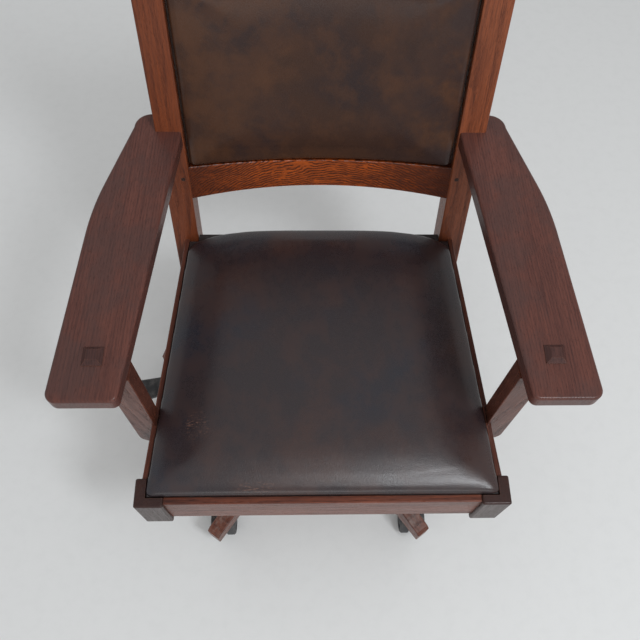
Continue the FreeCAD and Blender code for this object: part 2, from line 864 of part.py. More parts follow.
def back_frame(side_rails, rear_rail):
    """The leaning posts, the bowed rails between them, their pins, and the arms on the posts."""
    lower = back_rail("lower_back_rail", size.back_rail_low, size.back_rail_height,
                      arch_below=size.back_rail_arch)
    upper = back_rail("top_back_rail", top_rail_low, size.top_rail_height,
                      arch_above=size.top_rail_arch)
    pins = []
    middle_x = size.post_inner_x + size.tenon_length / 2
    heights = (size.back_rail_low + size.back_rail_height * 2 / 3,
               top_rail_low + size.top_rail_height / 2)
    for side in SIDES.values():
        for height in heights:
            pin = turned("rail_pin", [
                (0, 0),
                (size.rail_pin_radius, 0),
                (size.rail_pin_radius, size.rail_pin_length),
                (0, size.rail_pin_length),
            ])
            drop = height * cosine(size.post_lean_angle)
            place(pin, side * middle_x, post_face_y(size.rail_top_z + drop), size.rail_top_z + drop,
                  -ALONG_X, 90 + size.post_lean_angle)
            pins.append(pin)
    pins = node("rail_pins", group("rail_pins", pins))
    node("lower_back_rail", cut("lower_back_rail", lower, pins))
    node("top_back_rail", cut("top_back_rail", upper, pins))

    depth = size.post_depth / cosine(size.post_lean_angle)
    bottom, top = rail_bottom_z, size.post_top_z
    for name, side in SIDES.items():
        post = prism(f"back_post_{name}_form", "YZ", [
            (post_face_y(bottom), bottom),
            (post_face_y(bottom) + depth, bottom),
            (post_face_y(top) + depth, top),
            (post_face_y(top), top),
        ], *across(side, size.post_inner_x, post_outer_x))
        ease(post, size.post_top_bevel, flat_edge_at(top), "Chamfer")
        ease(post, size.post_ease, lambda edge: edge.BoundBox.ZLength > float(top - bottom) / 2)
        nodes[f"arm_{name}"] = node(f"arm_{name}", cut(f"arm_{name}_notched", nodes[f"arm_{name}"], post))
        node(f"back_post_{name}", cut(
            f"back_post_{name}", post, side_rails[name], rear_rail, lower, upper, pins))


def seat_board_outline():
    """Half of the seat board's plan on the right side, from the front corner to the rear edge."""
    gap = size.board_gap
    lip = size.side_lip / cosine(size.side_rail_angle)
    near = back(size.front_rail_setback + size.front_lip) + gap
    behind_block = back(size.block_depth)
    notch = post_face_y(ledge_z) - gap
    rear = back(size.cushion_rear_setback) - gap

    def edge_x(y):
        return side_rail_x(y) - lip - gap

    return [
        (edge_x(behind_block), near),
        (edge_x(behind_block), behind_block),
        (edge_x(notch), notch),
        (size.post_inner_x - gap, notch),
        (size.post_inner_x - gap, rear),
    ]


def mirrored(half):
    """A whole outline from its right half, read from front to rear."""
    return half + [(-x, y) for x, y in reversed(half)]


def seat_board(bearers):
    board = prism("seat_board", "XY", mirrored(seat_board_outline()), ledge_z, size.rail_top_z)
    node("seat_board", board)
    for name, bearer in zip(SIDES, bearers):
        nodes[f"seat_bearer_{name}"] = bearer


def arc_edge(first, middle, last):
    return Part.Arc(first, middle, last).toShape()


def loft_between(name, layers):
    """A soft solid whose skin runs straight from each closed layer to the next."""
    soft = doc.addObject("Part::Feature", name)
    soft.Shape = Part.makeLoft(layers, True, True)
    return node(name, soft)


# How far each layer of the seat cushion is drawn in and how high it stands: first up the bulging
# side, as shares of the tuck and the edge height, then over the crown, as shares of its run and rise.
SIDE_LAYER_SHARES = ((1.0, 0.0), (0.4, 0.15), (0.1, 0.32), (0.0, 0.5), (0.1, 0.68), (0.4, 0.85), (1.0, 1.0))
CROWN_LAYER_SHARES = ((0.04, 0.2), (0.12, 0.42), (0.25, 0.63), (0.45, 0.83), (0.7, 0.95), (1.0, 1.0))

# How fast the plan's corners grow rounder as the layers draw in
CORNER_GROWTH_SHARE = 0.2

# An arc's middle lies this share of the way from the corner that it rounds to its chord's middle
ROUND_SHARE = 2 - math.sqrt(2)


def rounded(start, corner, end):
    """The points of the arc that rounds one corner of a plan outline."""
    chord = ((start[0] + end[0]) / 2, (start[1] + end[1]) / 2)
    middle = tuple(c + (m - c) * ROUND_SHARE for c, m in zip(corner, chord))
    return [start, middle, end]


def seat_layer(inset, height):
    """The cushion's plan outline, drawn in by an inset, at one height."""
    near = float(back(size.cushion_front_setback)) + inset
    far = float(back(size.cushion_rear_setback)) - inset
    front_half = float(size.cushion_front_half)
    taper = float(tangent(size.cushion_side_angle))

    def side_x(y):
        return front_half - inset - (y - near) * taper

    radius = float(size.cushion_front_corner) + inset * CORNER_GROWTH_SHARE
    along = float(size.cushion_rear_corner_length)
    wide = float(size.cushion_rear_corner_width) * (1 - inset / front_half) + inset * CORNER_GROWTH_SHARE / 2
    right = [
        *rounded((side_x(near) - radius, near), (side_x(near), near), (side_x(near + radius), near + radius)),
        *rounded((side_x(far - along), far - along), (side_x(far), far), (side_x(far) - wide, far)),
    ]
    points = [Vector(x, y, height) for x, y in right]
    mirror = [Vector(-x, y, height) for x, y in right]
    return Part.Wire([
        Part.makeLine(mirror[0], points[0]),
        arc_edge(*points[:3]),
        Part.makeLine(points[2], points[3]),
        arc_edge(*points[3:]),
        Part.makeLine(points[5], mirror[5]),
        arc_edge(*reversed(mirror[3:])),
        Part.makeLine(mirror[3], mirror[2]),
        arc_edge(*reversed(mirror[:3])),
    ])


def seat_cushion():
    """The leather seat: crowned, with sides that bulge over the rails and draw in to the board."""
    base = float(size.rail_top_z + size.soft_gap)
    edge, crown = float(size.cushion_edge_height), float(size.cushion_crown)
    tuck, run = float(size.cushion_tuck), float(size.cushion_crown_run)
    layers = [seat_layer(tuck * inward, base + edge * up) for inward, up in SIDE_LAYER_SHARES]
    layers += [seat_layer(tuck + run * inward, base + edge + crown * up) for inward, up in CROWN_LAYER_SHARES]
    loft_between("seat_cushion", layers)


# Where the layers of the back cushion stand between its lower and upper edge, how far forward its
# edge stands in each, and how far its padding swells
BACK_LAYER_SHARES = (
    (0.0, 0.5, 0.0), (0.01, 0.8, 0.12), (0.03, 0.95, 0.26), (0.07, 1.0, 0.45), (0.14, 1.0, 0.66),
    (0.25, 1.0, 0.85), (0.38, 1.0, 0.96), (0.5, 1.0, 1.0), (0.62, 1.0, 0.96), (0.75, 1.0, 0.85),
    (0.86, 1.0, 0.66), (0.93, 1.0, 0.45), (0.97, 0.95, 0.26), (0.99, 0.8, 0.12), (1.0, 0.5, 0.0),
)


def back_panel():
    """The bowed board between the back rails, and the leather cushion on its front."""
    inner = size.post_inner_x - size.soft_gap
    low = size.back_rail_low + size.back_rail_height
    high = top_rail_low
    near = size.back_board_setback
    far = near + size.back_board_thickness
    board = prism("back_board", "XY", [
        (-inner, near),
        Via(0, near + size.back_bow),
        (inner, near),
        (inner, far),
        Via(0, far + size.back_bow),
        (-inner, far),
    ], low, high)
    node("back_board", lean(board))

    half = float(size.post_inner_x - size.back_cushion_gap)
    bow, swell = float(size.back_bow), float(size.back_cushion_crown)
    rear = float(near - size.soft_gap)
    depth = rear + float(size.back_cushion_proud)
    roll = float(size.cushion_tuck)
    start = float(low + size.soft_gap)
    rise = float(high - size.soft_gap) - start
    layers = []
    for place_share, edge_share, swell_share in BACK_LAYER_SHARES:
        level = start + rise * place_share
        edge = rear - depth * edge_share
        middle = (rear + edge) / 2
        rear_left, rear_right = Vector(roll - half, rear, level), Vector(half - roll, rear, level)
        front_left, front_right = Vector(roll - half, edge, level), Vector(half - roll, edge, level)
        layers.append(Part.Wire([
            arc_edge(rear_left, Vector(0, rear + bow, level), rear_right),
            arc_edge(rear_right, Vector(half, middle, level), front_right),
            arc_edge(front_right, Vector(0, edge + bow - swell * swell_share, level), front_left),
            arc_edge(front_left, Vector(-half, middle, level), rear_left),
        ]))
    lean(loft_between("back_cushion", layers))


def star_angles():
    """The plan direction of each leg, in degrees from +X, starting with the one to the rear."""
    return [90 + STAR_STEP * number for number in range(STAR_POINTS)]


def star_base():
    """Hub, five wooden legs, the plate that ties them together, and the casters."""
    corner = size.hub_apothem / math.cos(math.pi / STAR_POINTS)
    hub = prism("base_hub", "XY", [
        (corner * math.cos(math.radians(angle + STAR_STEP / 2)),
         corner * math.sin(math.radians(angle + STAR_STEP / 2)))
        for angle in star_angles()
    ], size.leg_hub_bottom_z, size.hub_top_z)
    ease(hub, size.leg_ease, flat_edge_at(size.hub_top_z))
    pocket(hub, "XY", circle(size.column_radius), size.leg_hub_bottom_z - size.cut_overrun,
           size.hub_top_z + size.cut_overrun)
    node("base_hub", place(hub, 0, swivel_y, 0))

    plate_low = size.leg_hub_bottom_z - size.hub_plate_thickness
    screws = []
    plate = turned("hub_plate_form", [
        (size.column_radius, plate_low),
        (size.hub_plate_radius, plate_low),
        (size.hub_plate_radius, size.leg_hub_bottom_z),
        (size.column_radius, size.leg_hub_bottom_z),
    ])
    place(plate, 0, swivel_y, 0)
    for angle in star_angles():
        x = size.leg_screw_circle * math.cos(math.radians(angle))
        y = size.leg_screw_circle * math.sin(math.radians(angle))
        screw = wood_screw("leg_screw", size.leg_screw_length)
        screws.append(place(screw, x, swivel_y + y, plate_low, ALONG_X, 180))
    screws = node("leg_screws", group("leg_screws", screws))
    node("hub_plate", cut("hub_plate", plate, screws))

    stem_circle = size.leg_reach - size.stem_inset
    stems = []
    legs = []
    for number, angle in enumerate(star_angles(), start=1):
        leg = prism(f"base_leg_{number}_form", "XZ", [
            (size.hub_apothem, size.leg_hub_bottom_z),
            (size.hub_plate_radius, size.leg_hub_bottom_z),
            (size.leg_reach - size.leg_pad_length, size.leg_tip_bottom_z),
            (size.leg_reach, size.leg_tip_bottom_z),
            (size.leg_reach, size.leg_tip_top_z - size.leg_tip_bevel),
            (size.leg_reach - size.leg_tip_bevel, size.leg_tip_top_z),
            (size.hub_apothem, size.leg_hub_top_z),
        ], -size.leg_width / 2, size.leg_width / 2)
        ease(leg, size.leg_ease, lambda edge: edge.BoundBox.YLength < TINY
             and edge.CenterOfMass.x > float(size.hub_apothem) + TINY)
        legs.append(place(leg, 0, swivel_y, 0, ALONG_Z, angle))
        x = stem_circle * math.cos(math.radians(angle))
        y = swivel_y + stem_circle * math.sin(math.radians(angle))
        stems.append(caster(number, x, y))
    stems = node("caster_stems", group("caster_stems", stems))
    for number, leg in enumerate(legs, start=1):
        node(f"base_leg_{number}", cut(f"base_leg_{number}", leg, stems, screws))


# How far the web of a hood bellies out under the axle, against the radius of its boss
BOSS_BELLY_SHARE = 1.4

# A wheel's dished face, against its radius, and its inner boss, against the axle's radius
DISH_SHARE = 0.7
DISH_FLOOR_SHARE = 0.6
WHEEL_BOSS_SHARE = 2.0


def caster(number, x, y):
    """One twin-wheel caster, which trails to the rear. Returns its stem, which stays in the leg."""
    flange_low = size.leg_tip_bottom_z - size.stem_flange_thickness
    stem_low = size.leg_tip_bottom_z - size.stem_drop
    stem = turned(f"caster_stem_{number}", [
        (0, stem_low),
        (size.stem_radius, stem_low),
        (size.stem_radius, flange_low),
        (size.stem_flange_radius, flange_low),
        (size.stem_flange_radius, size.leg_tip_bottom_z),
        (size.stem_radius, size.leg_tip_bottom_z),
        (size.stem_radius, size.leg_tip_bottom_z + size.stem_rise),
        (0, size.leg_tip_bottom_z + size.stem_rise),
    ])
    place(stem, x, y, 0)

    trail, centre = size.caster_trail, size.wheel_radius
    inside = size.wheel_radius + size.hood_cover_gap
    outside = inside + size.hood_cover_thickness
    sweep = size.hood_sweep_angle
    skin = (inside + outside) / 2
    boss_top, boss_low = flange_low, stem_low - size.stem_floor
    half = size.wheel_inner_x + size.wheel_width
    hood = prism(f"caster_{number}_hood_form", "YZ", [
        (trail + outside, centre),
        Via(trail + outside * cosine(sweep / 2), centre + outside * sine(sweep / 2)),
        (trail + outside * cosine(sweep), centre + outside * sine(sweep)),
        (trail + inside * cosine(sweep), centre + inside * sine(sweep)),
        Via(trail + inside * cosine(sweep / 2), centre + inside * sine(sweep / 2)),
        (trail + inside, centre),
    ], -half, half)
    web = size.hood_web / 2
    boss = size.hood_boss_radius
    pad(hood, "YZ", [
        (-boss / 2, boss_top),
        (-boss / 2, boss_low),
        (trail - boss, centre - boss),
        Via(trail, centre - boss * BOSS_BELLY_SHARE),
        (trail + boss, centre - boss),
        (trail + skin, centre),
        Via(trail + skin * cosine(sweep / 2), centre + skin * sine(sweep / 2)),
        (trail + skin * cosine(sweep), centre + skin * sine(sweep)),
        (boss / 2, boss_top),
    ], -web, web)
    pad(hood, "XY", circle(boss), boss_low, boss_top)
    pocket(hood, "XY", circle(size.stem_radius + size.running_gap), stem_low - size.running_gap,
           boss_top + size.cut_overrun)
    pocket(hood, "YZ", circle(size.axle_radius + size.running_gap, trail, centre),
           -web - size.cut_overrun, web + size.cut_overrun)
    node(f"caster_{number}_hood", place(hood, x, y, 0))

    inner, wide = size.wheel_inner_x, size.wheel_inner_x + size.wheel_width
    axle = turned(f"caster_{number}_axle", [
        (0, -wide), (size.axle_radius, -wide), (size.axle_radius, wide), (0, wide),
    ])
    parts = [place(axle, 0, trail, centre, ALONG_Y, 90)]
    for side in SIDES.values():
        wheel = turned(f"caster_{number}_wheel", [
            (size.axle_radius, inner * side),
            (size.wheel_radius - size.wheel_ease / 2, inner * side),
            (size.wheel_radius, (inner + size.wheel_ease / 2) * side),
            (size.wheel_radius, (wide - size.wheel_ease) * side),
            (size.wheel_radius - size.wheel_ease, wide * side),
            (size.wheel_radius * DISH_SHARE, wide * side),
            (size.wheel_radius * DISH_FLOOR_SHARE, (wide - size.wheel_ease) * side),
            (size.axle_radius * WHEEL_BOSS_SHARE, (wide - size.wheel_ease) * side),
            (size.axle_radius * WHEEL_BOSS_SHARE, wide * side),
            (size.axle_radius, wide * side),
        ])
        parts.append(place(wheel, 0, trail, centre, ALONG_Y, 90))
    wheels = group(f"caster_{number}_wheels", parts)
    node(f"caster_{number}_wheels", place(wheels, x, y, 0))
    return stem


def gas_column():
    """The outer tube in the hub, the rod that turns in it, and the tube that rises."""
    inside = size.column_radius - size.column_wall
    floor = size.column_bottom_z + size.column_floor
    column = turned("column_tube", [
        (size.rod_radius + size.running_gap, size.column_bottom_z),
        (size.column_radius, size.column_bottom_z),
        (size.column_radius, size.column_top_z),
        (inside, size.column_top_z),
        (inside, floor),
        (size.rod_radius + size.running_gap, floor),
    ])
    node("column_tube", place(column, 0, swivel_y, 0))

    bore = size.lift_radius + size.running_gap
    bushing_top = size.column_top_z + size.bushing_flange
    bushing = turned("column_bushing", [
        (bore, size.column_top_z - size.bushing_length),
        (inside, size.column_top_z - size.bushing_length),
        (inside, size.column_top_z),
        (size.column_radius, size.column_top_z),
        (size.column_radius, bushing_top),
        (bore, bushing_top),
    ])
    node("column_bushing", place(bushing, 0, swivel_y, 0))

    bearing = turned("thrust_bearing", [
        (size.rod_radius, floor),
        (size.bearing_radius, floor),
        (size.bearing_radius, floor + size.bearing_height),
        (size.rod_radius, floor + size.bearing_height),
    ])
    node("thrust_bearing", place(bearing, 0, swivel_y, 0))

    shoulder = floor + size.bearing_height
    lift_inside = size.lift_radius - size.lift_wall
    ceiling = size.lift_top_z - size.lift_head
    piston_top = ceiling - size.piston_gap
    piston = lift_inside - size.running_gap
    rod = turned("piston_rod", [
        (0, size.rod_bottom_z),
        (size.rod_radius, size.rod_bottom_z),
        (size.rod_radius, shoulder),
        (size.rod_shoulder_radius, shoulder),
        (size.rod_shoulder_radius, shoulder + size.rod_shoulder_height),
        (size.rod_radius, shoulder + size.rod_shoulder_height),
        (size.rod_radius, piston_top - size.piston_height),
        (piston, piston_top - size.piston_height),
        (piston, piston_top),
        (0, piston_top),
    ])
    node("piston_rod", place(rod, 0, swivel_y, 0))

    valve_bore = size.valve_radius + size.running_gap
    valve_low = size.lift_top_z - size.valve_depth
    lift = turned("pressure_tube", [
        (size.rod_radius + size.running_gap, size.lift_bottom_z),
        (size.lift_radius, size.lift_bottom_z),
        (size.lift_radius, size.socket_bottom_z),
        (size.lift_top_radius, size.lift_top_z),
        (valve_bore, size.lift_top_z),
        (valve_bore, valve_low - size.cut_overrun),
        (0, valve_low - size.cut_overrun),
        (0, ceiling),
        (lift_inside, ceiling),
        (lift_inside, size.lift_bottom_z + size.lift_floor),
        (size.rod_radius + size.running_gap, size.lift_bottom_z + size.lift_floor),
    ])
    node("pressure_tube", place(lift, 0, swivel_y, 0))
    socket = turned("socket_form", [
        (0, size.lift_bottom_z),
        (size.lift_radius, size.lift_bottom_z),
        (size.lift_radius, size.socket_bottom_z),
        (size.lift_top_radius, size.lift_top_z),
        (0, size.lift_top_z),
    ])
    place(socket, 0, swivel_y, 0)

    button_top = size.lift_top_z + size.valve_proud
    button = turned("valve_button", [
        (0, valve_low),
        (size.valve_radius, valve_low),
        (size.valve_radius, button_top - size.running_gap * 4),
        (size.valve_radius / 2, button_top),
        (0, button_top),
    ])
    node("valve_button", place(button, 0, swivel_y, 0))
    return socket


SPRING_TURNS = 5.5
ARCS_PER_TURN = 4


def bend(start, heading, end):
    """The arc that leaves a point along a heading and ends at another point."""
    chord = end - start
    sideways = heading - chord * (heading.dot(chord) / chord.dot(chord))
    half_angle = heading.getAngle(chord) / 2
    rise = chord.Length / 2 * math.tan(half_angle)
    return arc_edge(start, start + chord / 2 + sideways.normalize() * rise, end)


def biarc(start, start_heading, end, end_heading):
    """Two arcs that join two points and headings without a kink."""
    chord = end - start
    total = start_heading + end_heading
    turn = 2 * (1 - start_heading.dot(end_heading))
    along = chord.dot(total)
    reach = (math.sqrt(along * along + turn * chord.dot(chord)) - along) / turn
    middle = (start + start_heading * reach + end - end_heading * reach) / 2
    back_arc = bend(end, -end_heading, middle)
    return [bend(start, start_heading, middle), back_arc]


def coil(low, high):
    """The tension spring: one unbroken wire of even pitch between two heights."""
    wire = float(size.spring_wire)
    radius = float(size.spring_radius) - wire / 2
    rise = (high - low - wire) / SPRING_TURNS
    slope = rise / (2 * math.pi)

    def stand(turns):
        angle = 2 * math.pi * turns
        point = Vector(radius * math.cos(angle), radius * math.sin(angle), low + wire / 2 + rise * turns)
        heading = Vector(-radius * math.sin(angle), radius * math.cos(angle), slope).normalize()
        return point, heading

    steps = [stand(number / ARCS_PER_TURN) for number in range(int(SPRING_TURNS * ARCS_PER_TURN) + 1)]
    edges = []
    for before, after in zip(steps, steps[1:]):
        edges += biarc(*before, *after)
    path = Part.Wire(Part.sortEdges(edges)[0])
    start, heading = steps[0]
    section = Part.Wire(Part.Circle(start, heading, wire / 2).toShape())
    shell = Part.BRepOffsetAPI.MakePipeShell(path)
    shell.add(section)
    shell.build()
    shell.makeSolid()
    points = path.discretize(Number=len(edges) * ARCS_PER_TURN)
    half_turn = len(points) * 0.5 / SPRING_TURNS
    gap = min((points[first] - points[second]).Length
              for first in range(len(points)) for second in range(len(points))
              if second - first > half_turn) - wire
    print(f"least gap between the spring's curls: {gap:.2f} mm")
    return shell.shape()


def mechanism(socket, bearers):
    """The tilt mechanism: housing, pins, seat plate, tension bolt, spring, washer and knob."""
    half, wall = size.housing_half_width, size.housing_wall
    floor = size.housing_floor_z
    front, rear = back(size.housing_front_setback), back(size.housing_rear_setback)
    pin_y, pin_z = back(size.tilt_pin_setback), size.tilt_pin_z
    plate_low = rail_bottom_z + size.bearer_rise - size.plate_thickness
    stop = back(size.stop_front_setback)
    bolt_y = back(size.bolt_setback)
    nose_top = floor + wall * 3

    housing = prism("mechanism_housing_form", "YZ", [
        (front, floor),
        (rear, floor),
        (rear, size.housing_rear_z),
        (swivel_y, size.housing_wall_z),
        (stop + size.stop_length, size.housing_wall_z),
        (stop + size.stop_length, plate_low),
        (stop, plate_low),
        (stop, size.housing_wall_z - wall * 3),
        (front, nose_top),
    ], -half, half)
    pocket(housing, "XY", rectangle(
        (wall - half, half - wall), (front + wall, rear - wall),
    ), floor + wall, plate_low + size.cut_overrun)
    pad(housing, "XY", circle(size.socket_radius, 0, swivel_y), size.socket_bottom_z, floor)
    pad(housing, "XY", circle(size.socket_radius, 0, swivel_y), floor, size.lift_top_z)
    slot = size.slot_half_width
    pocket(housing, "XY", [
        (-slot, bolt_y),
        Via(0, bolt_y - slot),
        (slot, bolt_y),
        (slot, bolt_y + size.slot_travel),
        Via(0, bolt_y + size.slot_travel + slot),
        (-slot, bolt_y + size.slot_travel),
    ], floor - size.cut_overrun, floor + wall + size.cut_overrun)
    pocket(housing, "YZ", circle(size.tilt_pin_radius, pin_y, pin_z),
           -half - size.cut_overrun, half + size.cut_overrun)
    lever_z = size.lift_top_z + size.valve_proud + size.lever_valve_gap + size.lever_radius
    lever_y = swivel_y - (half - wall / 2) * tangent(size.lever_angle)
    pocket(housing, "YZ", circle(size.lever_radius + size.lever_hole_gap, lever_y, lever_z),
           -half - size.cut_overrun, wall - half)
    node("mechanism_housing", cut("mechanism_housing", housing, socket))

    ear_in = half + size.ear_gap
    ear_out = ear_in + size.plate_thickness
    pin_end = ear_out + size.ear_gap + size.pin_head
    pin = turned("tilt_pin", [
        (0, -pin_end),
        (size.pin_head_radius, -pin_end),
        (size.pin_head_radius, -pin_end + size.pin_head),
        (size.tilt_pin_radius, -pin_end + size.pin_head),
        (size.tilt_pin_radius, pin_end - size.pin_head),
        (size.pin_head_radius, pin_end - size.pin_head),
        (size.pin_head_radius, pin_end),
        (0, pin_end),
    ])
    node("tilt_pin", place(pin, 0, pin_y, pin_z, ALONG_Y, 90))

    plate_top = plate_low + size.plate_thickness
    near, far = back(size.plate_front_setback), back(size.plate_front_setback + size.plate_length)
    wide = size.plate_half_width
    plate = prism("seat_plate_form", "XY", rectangle((-wide, wide), (near, far)), plate_low, plate_top)
    ease(plate, size.plate_corner, runs_along(ALONG_Z))
    radius = size.ear_radius
    ear = [
        (pin_y - radius, plate_low + size.plate_thickness / 2),
        (pin_y - radius, pin_z),
        Via(pin_y, pin_z - radius),
        (pin_y + radius, pin_z),
        (pin_y + radius, plate_low + size.plate_thickness / 2),
    ]
    lug = size.lug_radius
    pin_level = size.cross_pin_z
    lug_outline = [
        (bolt_y - lug, plate_low + size.plate_thickness / 2),
        (bolt_y - lug, pin_level),
        Via(bolt_y, pin_level - lug),
        (bolt_y + lug, pin_level),
        (bolt_y + lug, plate_low + size.plate_thickness / 2),
    ]
    lug_in = size.bolt_eye_half + size.lug_gap
    lug_out = lug_in + size.plate_thickness
    for side in SIDES.values():
        pad(plate, "YZ", ear, *across(side, ear_in, ear_out))
        pad(plate, "YZ", lug_outline, *across(side, lug_in, lug_out))
    pocket(plate, "YZ", circle(size.tilt_pin_radius + size.running_gap, pin_y, pin_z),
           -wide - size.cut_overrun, wide + size.cut_overrun)
    pocket(plate, "YZ", circle(size.cross_pin_radius, bolt_y, pin_level), -half, half)
    screws = []
    for side in SIDES.values():
        for y in (near + size.plate_screw_inset, far - size.plate_screw_inset):
            screw = wood_screw("plate_screw", size.plate_screw_length)
            screws.append(place(screw, side * size.bearer_x, y, plate_low, ALONG_X, 180))
    screws = node("plate_screws", group("plate_screws", screws))
    node("seat_plate", cut("seat_plate", plate, screws))
    for name, bearer in zip(SIDES, bearers):
        node(f"seat_bearer_{name}", cut(f"bearer_{name}", bearer, screws))

    cross = turned("cross_pin", [
        (0, -lug_out - size.pin_head),
        (size.cross_pin_radius, -lug_out - size.pin_head),
        (size.cross_pin_radius, lug_out + size.pin_head),
        (0, lug_out + size.pin_head),
    ])
    node("cross_pin", place(cross, 0, bolt_y, pin_level, ALONG_Y, 90))

    eye = size.bolt_eye_radius
    bolt = prism("tension_bolt_form", "YZ", circle(eye, bolt_y, pin_level),
                 -size.bolt_eye_half, size.bolt_eye_half)
    pad(bolt, "XY", circle(size.bolt_radius, 0, bolt_y), size.bolt_bottom_z, pin_level - eye / 2)
    pocket(bolt, "YZ", circle(size.cross_pin_radius + size.running_gap, bolt_y, pin_level),
           -size.bolt_eye_half - size.cut_overrun, size.bolt_eye_half + size.cut_overrun)
    node("tension_bolt", bolt)

    bore = size.bolt_radius + size.running_gap
    washer_top = floor - size.spring_length
    washer_low = washer_top - size.washer_thickness
    spring = doc.addObject("Part::Feature", "tension_spring")
    spring.Shape = coil(float(washer_top), float(floor))
    washer = turned("spring_washer", [
        (bore, washer_low),
        (size.washer_radius, washer_low),
        (size.washer_radius, washer_top),
        (bore, washer_top),
    ])
    neck_low = washer_low - size.knob_neck_height
    knob_low = washer_low - size.knob_height
    knob = turned("tension_knob", [
        (bore, washer_low),
        (size.knob_neck_radius, washer_low),
        (size.knob_neck_radius, neck_low),
        (size.knob_radius, neck_low - size.wheel_ease),
        (size.knob_radius, knob_low + size.wheel_ease),
        (size.knob_radius - size.wheel_ease, knob_low),
        (bore, knob_low),
    ])
    for label, thing in (("tension_spring", spring), ("spring_washer", washer), ("tension_knob", knob)):
        node(label, place(thing, 0, bolt_y, 0))
    return lever_z


def height_lever(lever_z):
    """The rod that presses the valve button, and the paddle at its outer end, under the left arm."""
    rod = turned("lever_rod_form", [
        (0, -size.lever_inner),
        (size.lever_radius, -size.lever_inner),
        (size.lever_radius, size.lever_rod_reach),
        (0, size.lever_rod_reach),
    ])
    place(rod, 0, 0, 0, -ALONG_Y, 90)
    start = size.lever_rod_reach - size.paddle_socket_depth
    end = start + size.paddle_length
    inner, outer = size.paddle_width_inner / 2, size.paddle_width_outer / 2
    half = size.paddle_thickness / 2
    paddle = prism("lever_paddle_form", "XY", [
        (-start, -inner),
        (-start, inner),
        (outer - end, outer),
        Via(-end, 0),
        (outer - end, -outer),
    ], -half, half)
    ease(paddle, size.ease_large, lambda edge: edge.BoundBox.ZLength < TINY)
    paddle = cut("lever_paddle", paddle, rod)
    for label, thing in (("lever_rod", rod), ("lever_paddle", paddle)):
        whole = group(label, [thing])
        node(label, place(whole, 0, swivel_y, lever_z, ALONG_Z, size.lever_angle))


def build():
    """Make every sub-part, check it, and write one STEP file for each."""
    bearers, side_rails, rear_rail = seat_frame()
    back_frame(side_rails, rear_rail)
    seat_board(bearers)
    seat_cushion()
    back_panel()
    star_base()
    socket = gas_column()
    lever_z = mechanism(socket, bearers)
    height_lever(lever_z)
    doc.recompute()
    for thing in doc.Objects:
        if "Invalid" in thing.State or "Error" in thing.State:
            raise RuntimeError(f"{thing.Name} ({thing.Label}) failed: {thing.State}")
    for label, thing in nodes.items():
        if thing.Shape.isNull() or not thing.Shape.isValid() or not thing.Shape.Solids:
            raise RuntimeError(f"{label} has no valid solid")
    os.makedirs("parts", exist_ok=True)
    for label, thing in nodes.items():
        thing.Shape.exportStep(f"parts/{label}.step")
    print(len(nodes), "sub-parts")


build()
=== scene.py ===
# %% [markdown]
# A desk chair in dark oak and leather
#
# The chair comes from CAD as a set of exact solids. This lesson dresses them: oak with its grain
# along each board, leather cushions that are really stuffed, painted and plated metal, and moulded
# plastic. It ends with a floor, soft light and a camera. Every length is in metres.

# %% Load the CAD frame
import math

import bpy
import numpy as np
from mathutils import Matrix, Vector


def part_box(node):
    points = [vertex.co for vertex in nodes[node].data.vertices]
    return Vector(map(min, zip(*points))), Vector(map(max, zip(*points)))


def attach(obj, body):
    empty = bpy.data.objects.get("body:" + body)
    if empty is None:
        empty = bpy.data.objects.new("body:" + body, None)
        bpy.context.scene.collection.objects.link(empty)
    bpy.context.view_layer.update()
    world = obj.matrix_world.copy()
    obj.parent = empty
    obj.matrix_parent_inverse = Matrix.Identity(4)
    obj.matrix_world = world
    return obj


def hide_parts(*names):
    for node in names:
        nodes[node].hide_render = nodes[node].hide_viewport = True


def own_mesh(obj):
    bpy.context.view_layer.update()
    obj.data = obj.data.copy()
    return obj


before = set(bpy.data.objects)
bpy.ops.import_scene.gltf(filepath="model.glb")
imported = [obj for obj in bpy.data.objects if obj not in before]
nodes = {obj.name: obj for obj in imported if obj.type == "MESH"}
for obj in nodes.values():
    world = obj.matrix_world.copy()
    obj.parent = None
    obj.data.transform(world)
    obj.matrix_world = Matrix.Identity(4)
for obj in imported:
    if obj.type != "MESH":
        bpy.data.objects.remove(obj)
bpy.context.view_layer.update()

# %% [markdown]
# A node tree is easier to read when each node is one line. The bench below adds a node, sets its
# values and joins its inputs in one call, so that a formula can be written from left to right.

